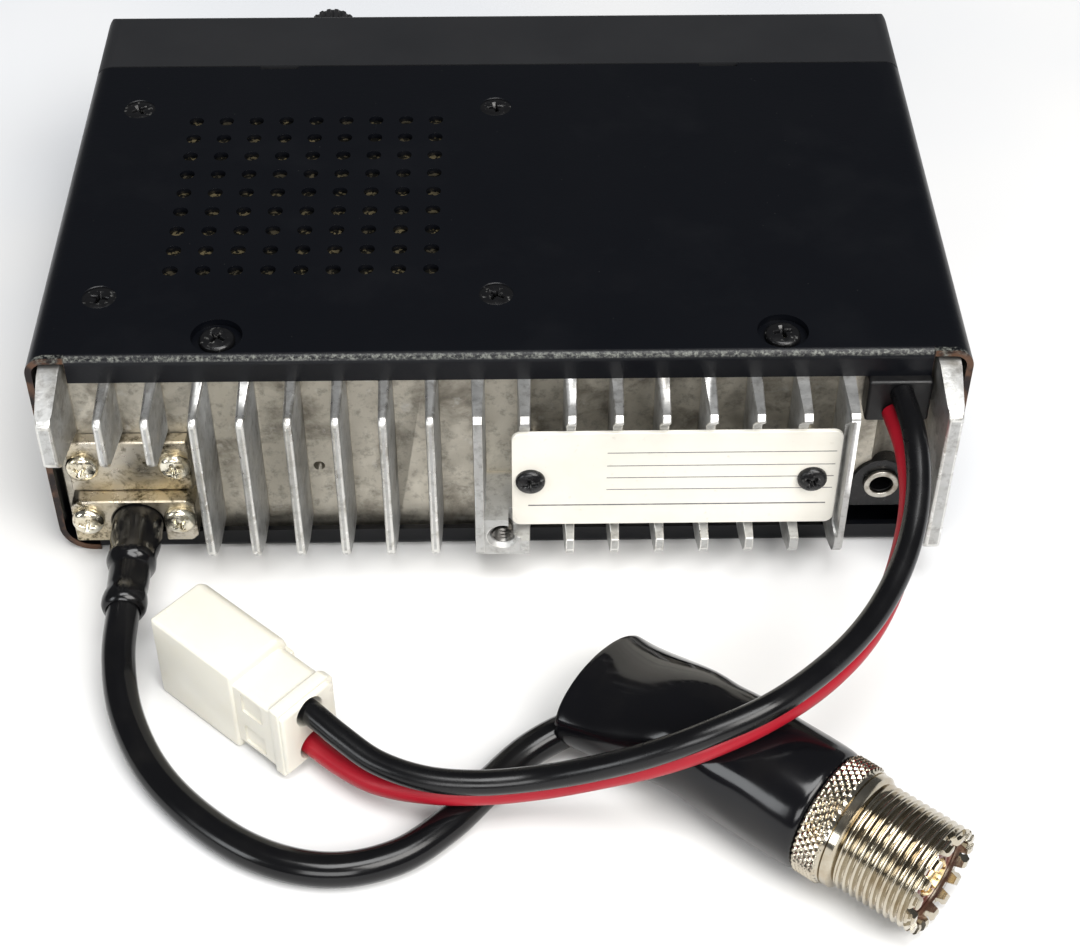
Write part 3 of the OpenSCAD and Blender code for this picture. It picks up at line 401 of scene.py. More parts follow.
    m = put("control_steel", (0.58, 0.57, 0.55), 0.32, 1.0)
    m.shade((m.remap(m.noise(1.2, 4), 0.5, 0.7, 0, 0.6), (0.42, 0.40, 0.36)))
    m.gloss(m.noise(1.5, 4, stretch=(1, 0.2, 1)), 0.24, 0.42)
    m.bump(m.noise(0.4, 3), 0.01, 0.4)

    m = put("key_plastic", (0.035, 0.036, 0.04), 0.45)
    m.shade((m.remap(m.noise(2.2, 5), 0.48, 0.7, 0, 0.7), (0.05, 0.05, 0.052)))
    m.gloss(m.noise(2.5, 4), 0.38, 0.52)
    m.bump(m.noise(0.25, 3), 0.015, 0.4)

    m = put("mic_metal", (0.66, 0.65, 0.62), 0.26, 1.0)
    m.shade((m.remap(m.noise(2, 4), 0.5, 0.7, 0, 0.5), (0.42, 0.40, 0.36)))
    m.gloss(m.noise(1.6, 4), 0.2, 0.36)
    m.bump(m.noise(0.4, 3), 0.008, 0.4)

    m = put("mic_plastic", (0.012, 0.012, 0.013), 0.35)
    m.shade((m.remap(m.noise(1.2, 4), 0.5, 0.7, 0, 0.7), (0.022, 0.022, 0.023)))
    m.gloss(m.noise(1, 3), 0.28, 0.44)
    m.bump(m.noise(0.4, 3), 0.015, 0.5)

    m = put("shield_tin", (0.60, 0.60, 0.58), 0.3, 1.0)
    m.shade((m.remap(m.noise(2.6, 5), 0.48, 0.68, 0, 0.7), (0.46, 0.45, 0.42)))
    m.gloss(m.noise(3, 4), 0.24, 0.45)
    m.bump(m.noise(1.5, 3), 0.03, 0.4)

    m = put("module_metal", (0.52, 0.51, 0.49), 0.4, 0.9)
    m.shade((m.remap(m.noise(2.2, 5), 0.48, 0.68, 0, 0.7), (0.40, 0.39, 0.36)))
    m.gloss(m.noise(2, 4), 0.3, 0.5)
    m.bump(m.noise(0.5, 3), 0.02, 0.5)

    m = put("ribbon", (0.42, 0.42, 0.40), 0.4)
    m.shade((m.remap(m.noise(3, 4), 0.45, 0.7, 0, 0.6), (0.34, 0.335, 0.31)))
    m.gloss(m.noise(2, 3), 0.34, 0.48)
    m.bump(m.noise(0.8, 2, stretch=(1, 0.05, 1)), 0.08, 0.6)
    return {name: each.mat for name, each in made.items()}


MATERIALS = make_materials()


def dress_frame():
    """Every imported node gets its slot's material; the pieces below then replace some of them."""
    for node, obj in NODES.items():
        obj.data.materials.clear()
        obj.data.materials.append(MATERIALS[SLOT_OF[node]])


dress_frame()


# ---- making pieces ------------------------------------------------------

def place(name, data, node, materials=None, replaces=True):
    """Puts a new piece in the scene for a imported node, or as well as it.

    The piece rides on the node's body and takes its slot.
    """
    piece = bpy.data.objects.new(name, data)
    bpy.context.scene.collection.objects.link(piece)
    for key in materials or [SLOT_OF[node]]:
        data.materials.append(MATERIALS[key])
    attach(piece, BODY_OF[node])
    if replaces:
        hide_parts(node)
    return piece


def to_mesh(name, bm, smooth=SHADED_EDGE):
    """A bmesh as a mesh, shaded smooth below an angle in degrees."""
    mesh = bpy.data.meshes.new(name)
    bm.to_mesh(mesh)
    bm.free()
    mesh.polygons.foreach_set("use_smooth", [True] * len(mesh.polygons))
    mesh.set_sharp_from_angle(angle=math.radians(smooth))
    return mesh


def place_bmesh(name, bm, smooth, node, **more):
    return place(name, to_mesh(name, bm, smooth), node, **more)


def outward(bm):
    """Turns the faces of a closed bmesh outwards."""
    bmesh.ops.recalc_face_normals(bm, faces=bm.faces)
    return bm


def bevel(bm, edges, width, segments):
    return bmesh.ops.bevel(
        bm, geom=edges, offset=width * MM, offset_type="OFFSET", segments=segments,
        profile=0.5, affect="EDGES", clamp_overlap=True,
    )


def softened(node, width, segments=2, edge=None, worn=None, shortest=0.0, group=None,
             outer_only=False):
    """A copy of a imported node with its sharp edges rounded, which stands for the node.

    The rounded edges take the edge material where worn(x, y, z) is true. Edges are rounded
    one group at a time, so that a short edge narrows the rounding of its own group only.
    Edges below the shortest length stay sharp, and so do inner ones if outer_only is true.
    """
    merge_distance, same_plane = 2e-6, math.radians(0.6)
    bm = bmesh.new()
    bm.from_mesh(NODES[node].data)
    bmesh.ops.remove_doubles(bm, verts=bm.verts, dist=merge_distance)
    bmesh.ops.dissolve_limit(bm, angle_limit=same_plane, verts=bm.verts, edges=bm.edges)
    sharp = [
        e for e in bm.edges
        if len(e.link_faces) == 2
        and e.calc_face_angle(0) > math.radians(ROUNDED_EDGE)
        and e.calc_length() >= shortest * MM
        and (e.is_convex or not outer_only)
    ]
    tag = bm.faces.layers.int.new("rounded")
    groups = {}
    for e in sharp:
        middle = (e.verts[0].co + e.verts[1].co) / 2 / MM
        groups.setdefault(group(middle) if group else 0, []).append(e)
    for edges in groups.values():
        made = bevel(bm, [e for e in edges if e.is_valid], width, segments)
        for face in made["faces"]:
            face[tag] = 1
            if edge and (worn is None or worn(*(face.calc_center_median() / MM))):
                face.material_index = 1
    # A packed face shades smooth only if it is one of the facets of a curved surface.
    for face in bm.faces:
        face.smooth = bool(face[tag]) or any(
            math.radians(1) < e.calc_face_angle(0) < math.radians(ROUNDED_EDGE)
            for e in face.edges if not any(f[tag] for f in e.link_faces))
    bm.faces.layers.int.remove(tag)
    mesh = bpy.data.meshes.new(node + "_soft")
    bm.to_mesh(mesh)
    bm.free()
    mesh.set_sharp_from_angle(angle=math.radians(SHADED_EDGE))
    own = SLOT_OF[node]
    piece = place(node + "_shape", mesh, node, [own, edge] if edge else [own])
    even = piece.modifiers.new("even", "WEIGHTED_NORMAL")
    even.weight, even.keep_sharp = 100, True


# ---- cords --------------------------------------------------------------

COAX_DIAMETER, WIRE_DIAMETER = 5.0, 3.6

# The routes of part.scad's cords
COAX_ROUTE = [
    (56.8, 52.3, 8.2), (56.8, 61, 8.2), (56.8, 71, 8.2), (56.6, 79.4, 7),
    (54.6, 88.2, 5), (49.8, 97.2, 3.2), (42.4, 105.2, 2.6), (33.4, 111.4, 2.6),
    (23.8, 113.8, 2.6), (14.8, 111.8, 2.6), (7.8, 106.4, 2.6), (2.2, 99.9, 2.6),
    (-3.2, 94.2, 2.9), (-8.8, 91, 3.8), (-14.1, 89.9, 4.8), (-19.1, 90.8, 5.8),
    (-23.8, 93.6, 6.8), (-28, 97, 7.8),
]
BLACK_ROUTE = [
    (-59.6, 51.5, 33.2), (-60.4, 59.5, 32.3), (-60.2, 67.4, 29.4), (-58.2, 75.4, 26.4),
    (-54.6, 83, 24.5), (-49.6, 90.4, 23.7), (-42.9, 97.8, 24), (-35.2, 104.1, 24.4),
    (-26.8, 107.1, 22.6), (-19.3, 107.4, 18.8), (-11.9, 106.2, 14.4), (-4.2, 105.3, 11.3),
    (3.6, 105.4, 10.6), (11, 104.3, 10.3), (17.6, 101.4, 10.3), (22.8, 97.4, 11),
    (27.3, 93.3, 11.6), (31.8, 89.3, 11.6),
]
RED_ROUTE = [
    (-58.8, 51.5, 29.5), (-59.8, 58.7, 28.6), (-59.8, 66.2, 25.8), (-57.9, 74, 22.8),
    (-54.6, 81.9, 20.9), (-50, 89.4, 20.1), (-43.4, 96.8, 20.2), (-35.3, 103.2, 20.7),
    (-27.7, 106, 18.9), (-20.7, 106.1, 15.3), (-13.3, 104.8, 11), (-5, 104.1, 7.8),
    (3.4, 104.4, 7.1), (11, 103.6, 6.5), (17.6, 101.2, 5.4), (22.8, 97.4, 4.6),
    (27.3, 93.3, 4.4), (31.8, 89.3, 4.4),
]


def cord_curve(name, route, diameter, node):
    """A round cord on one smooth curve through its route points."""
    data = bpy.data.curves.new(name, "CURVE")
    data.dimensions = "3D"
    data.resolution_u = 10
    data.bevel_depth = diameter / 2 * MM
    data.bevel_resolution = 6
    data.use_fill_caps = True
    spline = data.splines.new("BEZIER")
    spline.bezier_points.add(len(route) - 1)
    points = [Vector(p) * MM for p in route]
    for i, (point, p) in enumerate(zip(spline.bezier_points, points)):
        before, after = points[max(i - 1, 0)], points[min(i + 1, len(points) - 1)]
        heading = (after - before).normalized()
        point.co = p
        point.handle_left_type = point.handle_right_type = "FREE"
        point.handle_left = p - heading * (p - before).length / 3
        point.handle_right = p + heading * (after - p).length / 3
    return place(name, data, node)


coax = cord_curve("coax_cord", COAX_ROUTE, COAX_DIAMETER, "antenna_cable")
black_wire = cord_curve("black_cord", BLACK_ROUTE, WIRE_DIAMETER, "power_wire_black")
red_wire = cord_curve("red_cord", RED_ROUTE, WIRE_DIAMETER, "power_wire_red")


# ---- mesh tools ---------------------------------------------------------

def ring_points(radius, z, count, wave=None):
    """Points round the local z axis; wave(angle) adds to the radius."""
    made = []
    for k in range(count):
        a = 2 * math.pi * k / count
        r = radius + (wave(a) if wave else 0)
        made.append(Vector((r * math.cos(a), r * math.sin(a), z)))
    return made


def loft(bm, rings, at=Matrix(), loop=False):
    """Quads between rings of equally many points, moved by at.

    The ends are closed, or joined to each other if loop is true.
    """
    made = [[bm.verts.new((at @ p) * MM) for p in ring] for ring in rings]
    pairs = list(zip(made, made[1:]))
    if loop:
        pairs.append((made[-1], made[0]))
    for low, high in pairs:
        n = len(low)
        for k in range(n):
            bm.faces.new((low[k], low[(k + 1) % n], high[(k + 1) % n], high[k]))
    if not loop:
        bm.faces.new(made[0][::-1])
        bm.faces.new(made[-1])


def lathe(bm, profile, count=48, at=Matrix(), loop=False, wave=None):
    """A profile of (radius, z) turned round the local z axis; wave(angle, z) adds to the radius."""
    rings = [ring_points(r, z, count, wave and (lambda a, z=z: wave(a, z))) for r, z in profile]
    loft(bm, rings, at, loop)


def arc(cx, cz, r, start, end, count):
    """Profile points on a circle, angles in degrees from the radius axis."""
    return [
        (cx + r * math.cos(math.radians(start + (end - start) * i / (count - 1))),
         cz + r * math.sin(math.radians(start + (end - start) * i / (count - 1))))
        for i in range(count)
    ]


def facing(x, y, z, direction="rear"):
    """A frame at a point whose own z runs out of the rear, the top or the bottom of the set."""
    turn = {
        "rear": Matrix.Rotation(math.radians(-90), 4, "X"),
        "top": Matrix(),
        "bottom": Matrix.Rotation(math.radians(180), 4, "X"),
    }[direction]
    return Matrix.Translation((x, y, z)) @ turn


def moved(bm, at):
    """Moves a bmesh by at, from millimetres of its own to the row frame."""
    for v in bm.verts:
        v.co = (at @ (v.co / MM)) * MM
    return bm


def combined(body, other, operation):
    """A boolean of two bmeshes, as a new bmesh."""
    objects = []
    for bm in (body, other):
        mesh = bpy.data.meshes.new("scratch")
        outward(bm).to_mesh(mesh)
        bm.free()
        obj = bpy.data.objects.new("scratch", mesh)
        bpy.context.scene.collection.objects.link(obj)
        objects.append(obj)
    cut = objects[0].modifiers.new("cut", "BOOLEAN")
    cut.operation, cut.solver, cut.object = operation, "EXACT", objects[1]
    result = bmesh.new()
    result.from_object(objects[0], bpy.context.evaluated_depsgraph_get())
    for obj in objects:
        mesh = obj.data
        bpy.data.objects.remove(obj)
        bpy.data.meshes.remove(mesh)
    return result


def carved(body, cutter):
    return combined(body, cutter, "DIFFERENCE")


def joined(*parts):
    """Several bmeshes as the bmesh of their union."""
    whole = parts[0]
    for part in parts[1:]:
        whole = combined(whole, part, "UNION")
    return whole


def slab(low, high, chamfer=0.0):
    """A box as a bmesh, its top long edges cut off by chamfer."""
    (x0, y0, z0), (x1, y1, z1) = low, high
    if chamfer:
        top = [(y1, z1 - chamfer), (y1 - chamfer, z1), (y0 + chamfer, z1), (y0, z1 - chamfer)]
    else:
        top = [(y1, z1), (y0, z1)]
    section = [(y0, z0), (y1, z0)] + top
    bm = bmesh.new()
    loft(bm, [[Vector((x, y, z)) for y, z in section] for x in (x0, x1)])
    return bm


def rounded(bm, width, segments=2, angle=ROUNDED_EDGE):
    """Rounds the edges of a bmesh that bend by more than an angle in degrees."""
    outward(bm)
    bevel(bm, [e for e in bm.edges if len(e.link_faces) == 2
               and e.calc_face_angle(0) > math.radians(angle)], width, segments)
    return bm


# ---- screws -------------------------------------------------------------

def cross_outline(reach, half, z):
    """The twelve corners of a cross recess."""
    corner = [(reach, -half), (reach, half), (half, half)]
    made = []
    for turns in range(4):
        for x, y in corner:
            for _ in range(turns):
                x, y = -y, x
            made.append(Vector((x, y, z)))
    return made


def screw_head(r, h, flat=False):
    """A head of radius r and height h with a cross recess, standing on z = 0 or sunk below it."""
    body = bmesh.new()
    if flat:
        profile = [(0.1, -h), (r * 0.55, -h), (r, -0.12), (r, 0), (r * 0.6, 0.02), (0.1, 0.03)]
    else:
        profile = [(0.1, -0.2), (r, -0.2), (r, h * 0.22)]
        profile += arc(r - h * 0.62, h * 0.22, h * 0.62, 8, 66, 6)
        profile += [(r * 0.45, h * 0.97), (0.1, h)]
    lathe(body, profile, 40)
    top = 0.03 if flat else h
    recess = bmesh.new()
    loft(recess, [cross_outline(r * 0.30, r * 0.10, top - r * 0.5),
                  cross_outline(r * 0.56, r * 0.13, top),
                  cross_outline(r * 0.56, r * 0.13, top + 0.4)])
    return rounded(carved(body, recess), r * 0.02, 1, 40)


SCREW_TURNS = (12, 57, 33, 78) * 2  # how far each screw of a set is turned, in degrees


def screws(name, node, places, r, h, flat=False):
    """One piece with a cross-head screw at each place."""
    head = screw_head(r, h, flat)
    mesh = bpy.data.meshes.new("scratch")
    head.to_mesh(mesh)
    head.free()
    bm = bmesh.new()
    for spot, angle in zip(places, SCREW_TURNS):
        start = len(bm.verts)
        bm.from_mesh(mesh)
        bm.verts.ensure_lookup_table()
        turn = Matrix.Rotation(math.radians(angle), 4, "Z")
        for v in bm.verts[start:]:
            v.co = (spot @ turn @ (v.co / MM)) * MM
    bpy.data.meshes.remove(mesh)
    place_bmesh(name, bm, 50, node)


def make_screws():
    sides = (-1, 1)
    clamp = [facing(57.3 + side * 7.1, y, z) for y, z in ((49.85, 18.3), (52.3, 9.2))
             for side in sides]
    plate = [facing(x, 56.2, 20.4) for x in (-4.3, -46.9)]
    cover = [facing(side * 42, 45, 38.8, "top") for side in sides]
    base = [facing(side * x, y, 1.2, "bottom") for x, y in ((42, 44), (54, -17))
            for side in sides]
    speaker = [facing(30.6 + side * 30, 10.7 + end * 25, 39.9, "top")
               for side in sides for end in sides]
    screws("clamp_screw_heads", "antenna_clamp_screws", clamp, 2.5, 1.7)
    screws("plate_screw_heads", "name_plate_screws", plate, 2.25, 1.3)
    screws("cover_screw_heads", "top_cover_screws", cover, 2.7, 1.15)
    screws("base_screw_heads", "bottom_cover_screws", base, 2.7, 1.15)
    screws("speaker_screw_heads", "speaker_screws", speaker, 2.62, 1.0, flat=True)


make_screws()


# ---- antenna connector --------------------------------------------------

# The connector's own axis is z, from the sleeve's mouth to the open end of the socket.
PLUG_HEIGHT = 9.3
PLUG = (
    Matrix.Translation((-14, 85, PLUG_HEIGHT))
    @ Matrix.Rotation(math.radians(140), 4, "Z")
    @ Matrix.Rotation(math.radians(90), 4, "Y")
)
RING_START, THREAD_START, PLUG_END = 39.0, 45.0, 57.5
THREAD_PITCH = 1.058


def make_knurled_ring():
    """A ring with a band of crossed knurls between two plain edges."""
    count, rows = 276, 22
    knurls, lean, depth = 46, 5.1, 0.42
    start, length, radius = RING_START + 0.25, 3.3, 9.02

    def height(angle, s):
        one = 0.5 + 0.5 * math.cos(knurls * angle + lean * s)
        two = 0.5 + 0.5 * math.cos(knurls * angle - lean * s)
        return -depth * max(one, two) ** 2.2

    def plain(points):
        return [ring_points(r, RING_START + s, count) for r, s in points]

    rings = plain([(8.0, 0.05), (8.62, 0.05)])
    for i in range(rows):
        s = start + length * i / (rows - 1)
        rings.append(ring_points(radius, s, count, lambda a, s=s: height(a, s)))
    rings += plain([(8.62, 3.75), (8.62, 4.2), (8.0, 4.2)])
    bm = bmesh.new()
    loft(bm, rings, PLUG, loop=True)
    place_bmesh("knurled_ring", outward(bm), 45, "uhf_ring")


def make_threaded_shell():
    """A threaded tube whose open end has a crown of notches."""
    count, rows_per_turn, notches = 72, 11, 16
    inner, crest, groove_depth = 6.4, 7.92, 0.62
    bm = bmesh.new()
    rings = [ring_points(inner, RING_START + 5, count)]
    rings += [ring_points(r, s, count) for r, s in (
        (8.3, RING_START + 4.2), (8.5, RING_START + 4.4), (8.5, THREAD_START - 0.6),
        (8.2, THREAD_START - 0.3), (7.3, THREAD_START + 0.05))]
    rows = int((PLUG_END - THREAD_START) / THREAD_PITCH * rows_per_turn)
    for i in range(1, rows):
        s = THREAD_START + 0.1 + (PLUG_END - THREAD_START - 0.35) * i / rows

        def wave(a, s=s):
            groove = 0.5 - 0.5 * math.cos(2 * math.pi * s / THREAD_PITCH + a)
            fade = min(1.0, (s - THREAD_START) / 0.9, (PLUG_END - s) / 0.5 + 0.15)
            return -groove_depth * groove ** 1.3 * fade

        rings.append(ring_points(crest, s, count, wave))
    rings += [ring_points(r, s, count) for r, s in (
        (7.72, PLUG_END - 0.12), (7.55, PLUG_END), (6.75, PLUG_END), (inner, PLUG_END - 0.25))]
    loft(bm, rings, loop=True)
    cutter = bmesh.new()
    for k in range(notches):
        turn = Matrix.Rotation(math.radians(360 / notches * k + 11), 4, "Z")
        loft(cutter, [
            [turn @ Vector((x, y, z)) for x, y in ((5, -half), (10, -half), (10, half), (5, half))]
            for half, z in ((0.42, PLUG_END - 1.3), (0.95, PLUG_END + 0.4))
        ])
    place_bmesh("threaded_shell", moved(carved(bm, cutter), PLUG), 42, "uhf_shell")


def make_sleeve():
    """A soft vinyl sleeve, round at the connector and squeezed flat and open at its mouth."""
    count, radius, wall = 64, 9.25, 0.9
    flat_end, waist_at, turned_in = 18.5, 19, 38
    stations = [0, 0.6, 2, 4, 6.5, 9, 12, 15, 17.5, 19, 20.5, 22.5, 25, 28, 31, 34, 37, 38.4, 39]

    def outline(s, inset):
        """Half width, half height and centre height of the section at s."""
        open_end = max(0.0, 1 - s / flat_end)
        ease = open_end * open_end * (3 - 2 * open_end)
        waist = 0.35 * math.exp(-((s - waist_at) / 2.6) ** 2)
        rim = 0.5 * max(0.0, s - turned_in) ** 2
        half_w = radius + 1.5 * ease - waist - inset - rim
        half_h = radius - 3.15 * ease - waist - inset - rim
        return half_w, half_h, radius - 3.1 * ease

    def section(s, inset):
        half_w, half_h, centre = outline(s, inset)
        slant = 2.6 * max(0.0, 1 - s / 12)
        made = []
        for k in range(count):
            a = 2 * math.pi * k / count
            across, up = math.sin(a), math.cos(a)
            spot = Vector((across * 1.3 + 3.1, up * 1.3, s * 0.14 + 7))
            crease = 1 - 0.035 * abs(noise.noise(spot))
            down = PLUG_HEIGHT - centre - half_h * up * crease
            made.append(Vector((down, half_w * across * crease, s - slant * up * 0.5)))
        return made

    bm = bmesh.new()
    rings = [section(s, 0) for s in stations]
    end = [section(39, wall + 0.2), section(34, wall + 0.2)]
    inside = [section(s, wall) for s in stations[::-1] if s < 34]
    loft(bm, rings + end + inside, PLUG, loop=True)
    piece = place_bmesh("vinyl_sleeve", outward(bm), 60, "antenna_sleeve")
    smooth = piece.modifiers.new("smooth", "SUBSURF")
    smooth.levels = smooth.render_levels = 1


def make_boot():
    """Heat-shrunk strain relief: fold, step and rolled rim as it narrows to the cable."""
    profile = [(2.6, 44.6), (3.9, 44.6), (3.95, 47.4), (3.95, 52.4), (3.9, 54.6), (3.72, 57.2),
               (3.62, 59.4), (3.86, 60.4), (3.92, 61.2), (3.6, 61.9), (3.16, 62.4), (3.1, 64.5),
               (3.06, 67.3), (3.3, 68.1), (3.46, 69), (3.4, 70), (3.1, 70.7), (2.62, 71)]
    inner_radius, step = 2.45, 0.7

    def rumpled(a, y):
        rumple = noise.noise(Vector((math.cos(a) * 1.1, math.sin(a) * 1.1, y * 0.22)))
        dent = 0.3 if 55 < y < 61.5 else 0.16
        return dent * rumple if y > 53 else 0.0

    fine = []
    for (r0, y0), (r1, y1) in zip(profile, profile[1:]):
        steps = max(1, round(abs(y1 - y0) / step))
        fine += [(r0 + (r1 - r0) * i / steps, y0 + (y1 - y0) * i / steps) for i in range(steps)]
    fine += [profile[-1], (inner_radius, 70.6), (inner_radius, 45)]
    cable_x, _, cable_z = COAX_ROUTE[0]
    bm = bmesh.new()
    lathe(bm, fine, 48, facing(cable_x, 0, cable_z), loop=True, wave=rumpled)
    place_bmesh("shrink_boot", outward(bm), 50, "antenna_boot")


def make_insulator():
    """A moulded disc with a stepped collar round the contact."""
    face = PLUG_END - 2
    profile = [(3.05, RING_START + 5), (6.38, RING_START + 5), (6.38, face - 0.3), (6.1, face),
               (5.1, face), (4.9, face - 0.5), (4.2, face - 0.5), (4.05, face - 0.1),
               (3.5, face + 0.25), (3.05, face + 0.25)]
    bm = bmesh.new()
    lathe(bm, profile, 64, PLUG, loop=True)
    place_bmesh("socket_insulator", outward(bm), 30, "uhf_insulator")


def make_contact():
    """A turned tube, split in four fingers and rolled in at its mouth."""
    tip = PLUG_END - 1.2
    profile = [(0.1, RING_START + 7), (3, RING_START + 7), (3, tip - 2.4), (2.92, tip - 0.7),
               (2.62, tip - 0.15), (2.4, tip), (2.2, tip - 0.1), (2.06, tip - 0.5),
               (2.03, tip - 7), (0.1, tip - 7.6)]
    bm = bmesh.new()
    lathe(bm, profile, 56)
    slits = bmesh.new()
    loft(slits, [cross_outline(5, 0.3, tip - 5.8), cross_outline(5, 0.3, tip + 1)])
    place_bmesh("socket_contact", moved(carved(bm, slits), PLUG), 30, "uhf_contact")


make_knurled_ring()
make_threaded_shell()
make_insulator()
make_contact()
make_sleeve()
make_boot()


# ---- power connector ----------------------------------------------------

# The housing's own x axis runs from its wires to its open end.
NYLON = (
    Matrix.Translation((31, 97.4, 8))
    @ Matrix.Rotation(math.radians(-42), 4, "Z")
    @ Matrix.Rotation(math.radians(90), 4, "X")
)
HALF_SPACING, BORE_HEIGHT = 3.6, 5.5  # of the two ways


def way_axis(x, side):
    """Local z along one of the two ways, from x."""
    return (Matrix.Translation((x, side * HALF_SPACING, BORE_HEIGHT))
            @ Matrix.Rotation(math.radians(90), 4, "Y"))


def make_nylon_connector():
    """Moulded two-way housing: narrow rear with recesses, collar, wide front, latch."""
    rear = rounded(slab((0, -6.2, 0.4), (12.5, 6.2, 10.6), 1.1), 0.6, 4)
    front = rounded(slab((10, -8, 0.02), (27, 8, 11), 1.5), 0.7, 4)
    collar = rounded(slab((0.6, -6.9, 0.2), (2.6, 6.9, 11), 1.2), 0.4, 4)
    latch = slab((11, -2.2, 10.8), (16, 2.2, 12.5))
    arm = rounded(slab((10.6, -2.2, 11.9), (24, 2.2, 12.75)), 0.3)
    grip = rounded(slab((12.2, -2.9, 12.1), (14, 2.9, 12.79)), 0.3)
    body = joined(rear, front, collar, latch, arm, grip)
    for side in (-1, 1):
        way = side * HALF_SPACING
        bore = bmesh.new()
        loft(bore, [ring_points(r, z, 32) for r, z in (
            (3.2, 0), (2.3, 1.3), (2.3, 7), (2.1, 7.4), (2.1, 30))], way_axis(-1, side))
        mouth = slab((24.6, way - 2.9, 2.6), (28, way + 2.9, 8.4))
        y0, y1 = sorted((side * 1.5, side * 5.2))
        recess = rounded(slab((4.4, y0, -1), (8.6, y1, 0.8)), 0.3)
        for cutter in (bore, mouth, recess):
            body = carved(body, cutter)
    place_bmesh("nylon_connector", outward(moved(body, NYLON)), 35, "power_connector")


def make_contacts():
    """Two turned sockets, each with its crimp behind it."""
    profile = [(0.2, 0), (1.7, 0), (1.88, 0.3), (1.88, 5.2), (1.4, 6), (1.2, 6.4), (1.2, 8.5),
               (1.6, 9.1), (1.6, 16.8), (1.35, 17.3), (1.1, 17.1), (1.05, 12), (0.2, 11.6)]
    bm = bmesh.new()
    for side in (-1, 1):
        lathe(bm, profile, 32, NYLON @ way_axis(6, side))
    place_bmesh("contact_pair", outward(bm), 35, "power_contacts")


make_nylon_connector()
make_contacts()


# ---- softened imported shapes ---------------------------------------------

def beside_flange(x, y, z):
    """The cut rear edges of the covers' sides and corners."""
    return y > COVER_EDGE_Y and abs(x) > FLANGE_END_X - 0.4


def bare_below(x, y, z):
    """The same, and the rear edge of the bottom."""
    return beside_flange(x, y, z) or (y > COVER_EDGE_Y and z < 1.2)


def fin_edge(x, y, z):
    return y > FIN_EDGE_Y


def same_fin(at):
    """Tells the fins' edges from each other's and from the base plate's."""
    return round(at.x / FIN_PITCH - 0.5), at.y > BASE_PLATE_Y + 1.5


softened("top_cover", 0.16, edge="bare_edge", worn=beside_flange, shortest=0.12)
softened("bottom_cover", 0.16, edge="bare_edge", worn=bare_below, shortest=0.4)
softened("heat_sink", 0.45, segments=3, edge="cast_edge", worn=fin_edge, shortest=0.35,
         group=same_fin, outer_only=True)
softened("front_panel", 0.3, shortest=0.3)
softened("name_plate", 0.12)
softened("power_grommet", 0.5, segments=3)
softened("antenna_clamp_upper", 0.35, segments=3, shortest=0.3)
softened("antenna_clamp_lower", 0.35, segments=3, shortest=0.3)
softened("speaker_jack", 0.15, shortest=0.2)
softened("speaker_jack_ring", 0.22, segments=3)
softened("mic_shell", 0.2, shortest=0.2)
softened("display_lens", 0.25)
for knob in ("tuning_knob", "volume_knob", "squelch_knob"):
    softened(knob, 0.14, shortest=0.15)
for cap in ("power_button", "key_1", "key_2", "key_3", "key_4", "key_5"):
    softened(cap, 0.3, segments=3, shortest=0.5)


# ---- small marks --------------------------------------------------------

def bars(name, node, material, boxes):
    """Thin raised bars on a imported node, each a box from low to high."""
    bm = bmesh.new()
    for (x0, y0, z0), (x1, y1, z1) in boxes:
        loft(bm, [[Vector((x, y, z)) for x, y in ((x0, y0), (x1, y0), (x1, y1), (x0, y1))]
                  for z in (z0, z1)])
    place_bmesh(name, bm, SHADED_EDGE, node, materials=[material], replaces=False)


def box_of(node):
    """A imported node's low and high corners in millimetres."""
    return [[v / MM for v in corner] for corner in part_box(node)]


def make_plate_lines():
    """The ruled lines, placed by shares of the plate's width and height."""
    low, high = box_of("name_plate")
    width, height, face = high[0] - low[0], high[2] - low[2], high[1]

    def line(start, end, down, thick):
        z = high[2] - down * height
        return ((high[0] - end * width, face - 0.01, z - thick / 2),
                (high[0] - start * width, face + 0.02, z + thick / 2))

    bars("plate_rules", "name_plate", "plate_ink",
         [line(0.29, 0.985, down, 0.14) for down in (0.21, 0.35, 0.48, 0.61)]
         + [line(0.05, 0.97, 0.78, 0.24)])


def make_pointers():
    """A white line on the face of each small knob."""
    for knob in ("volume_knob", "squelch_knob"):
        low, high = box_of(knob)
        x, z, face = (low[0] + high[0]) / 2, (low[2] + high[2]) / 2, low[1]
        bars(knob + "_pointer", knob, "pointer_white",
             [((x - 0.28, face + 0.08, z + 1.25), (x + 0.28, face + 0.48, z + 3.7))])


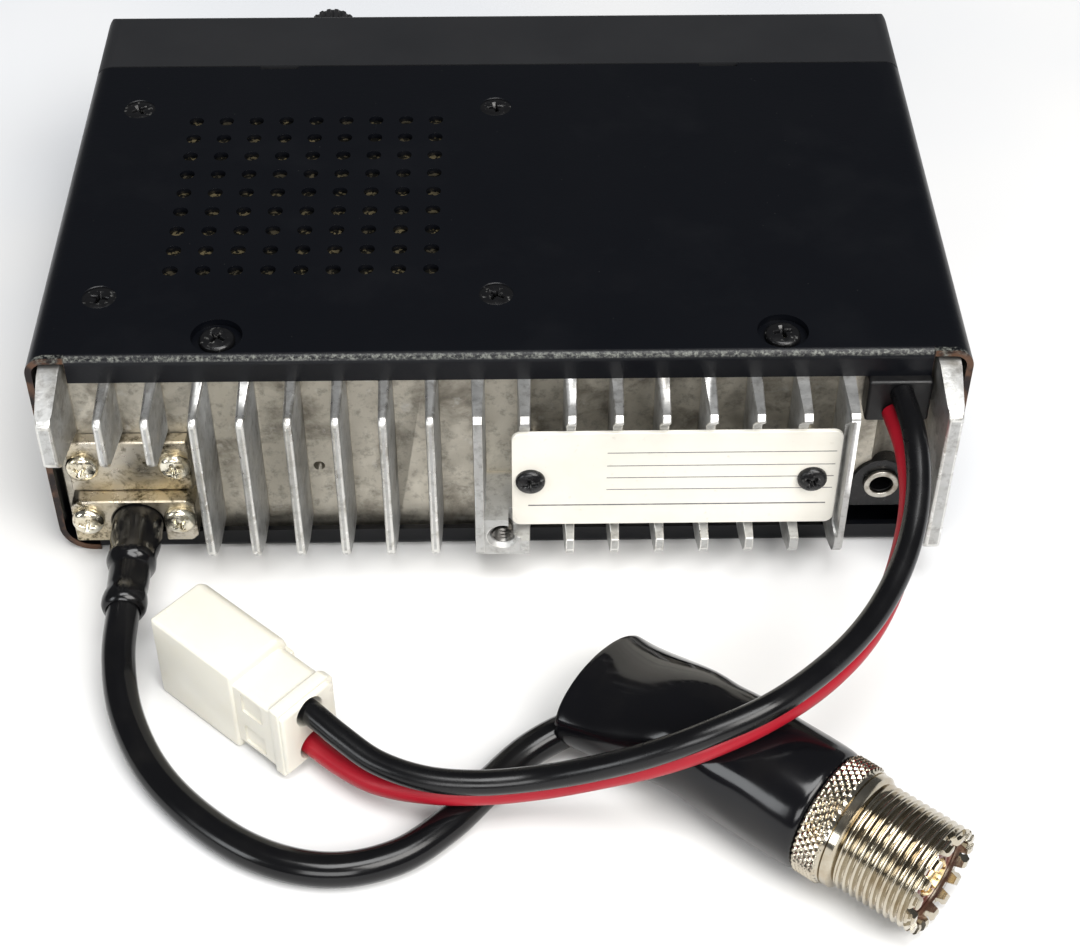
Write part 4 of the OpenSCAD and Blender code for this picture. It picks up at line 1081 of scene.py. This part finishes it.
def make_mount_thread():
    """The turns of the thread inside the rear mounting hole."""
    pitch, turns, steps = 0.7, 9, 24
    mouth_y, hole_z = 57.9, 10.4
    section = ((1.68, 0.3), (1.3, 0), (1.68, -0.3))  # radius, and place along the hole
    rings = []
    for i in range(turns * steps):
        a = 2 * math.pi * i / steps
        y = mouth_y - pitch * i / steps
        rings.append([Vector((r * math.cos(a), y + d, hole_z + r * math.sin(a)))
                      for r, d in section])
    bm = bmesh.new()
    loft(bm, rings)
    place_bmesh("mount_thread", outward(bm), SHADED_EDGE, "heat_sink",
                materials=["thread_steel"], replaces=False)


make_plate_lines()
make_pointers()
make_mount_thread()


# ---- floor and light ----------------------------------------------------

def make_floor():
    """A pale floor, 6 m across, with broad bluish patches of painted shade."""
    bm = bmesh.new()
    bmesh.ops.create_grid(bm, x_segments=1, y_segments=1, size=3)
    floor = bpy.data.objects.new("floor", to_mesh("floor", bm))
    bpy.context.scene.collection.objects.link(floor)
    m = Material("floor", (0.70, 0.695, 0.685), 0.6)
    # broad bluish patches of painted shade on the floor
    m.shade((m.remap(m.noise(120, 3), 0.4, 0.62), (0.62, 0.635, 0.66)))
    m.bump(m.noise(30, 3), 0.4, 0.3)
    floor.data.materials.append(m.mat)


def area_light(name, at, look, size, power, color=(1, 1, 1)):
    """A soft light at a point in metres, turned to look at another."""
    data = bpy.data.lights.new(name, "AREA")
    data.shape = "RECTANGLE"
    data.size, data.size_y = size
    data.energy = power
    data.color = color
    light = bpy.data.objects.new(name, data)
    bpy.context.scene.collection.objects.link(light)
    light.location = at
    light.rotation_mode = "QUATERNION"
    light.rotation_quaternion = (Vector(look) - Vector(at)).to_track_quat("-Z", "Y")


def make_light():
    world = bpy.data.worlds.new("studio")
    bpy.context.scene.world = world
    world.use_nodes = True
    background = world.node_tree.nodes["Background"]
    background.inputs["Color"].default_value = (0.93, 0.96, 1, 1)
    background.inputs["Strength"].default_value = 0.12
    area_light("key", (-0.55, 0.75, 0.95), (0, 0.06, 0.02), (0.8, 0.6), 17, (1, 0.98, 0.95))
    area_light("top", (-0.1, 0.35, 1.3), (0, 0.05, 0), (0.9, 0.5), 15)
    area_light("side", (1.0, 0.7, 0.45), (0, 0.05, 0.02), (0.4, 0.4), 3.5, (0.95, 0.98, 1))
    area_light("fill", (0.08, 0.6, 0.26), (0, 0.05, 0.015), (0.3, 0.2), 1.4)
    view = bpy.context.scene.view_settings
    view.view_transform = "Standard"
    view.look = "None"
    view.exposure = 0.0


make_floor()
make_light()
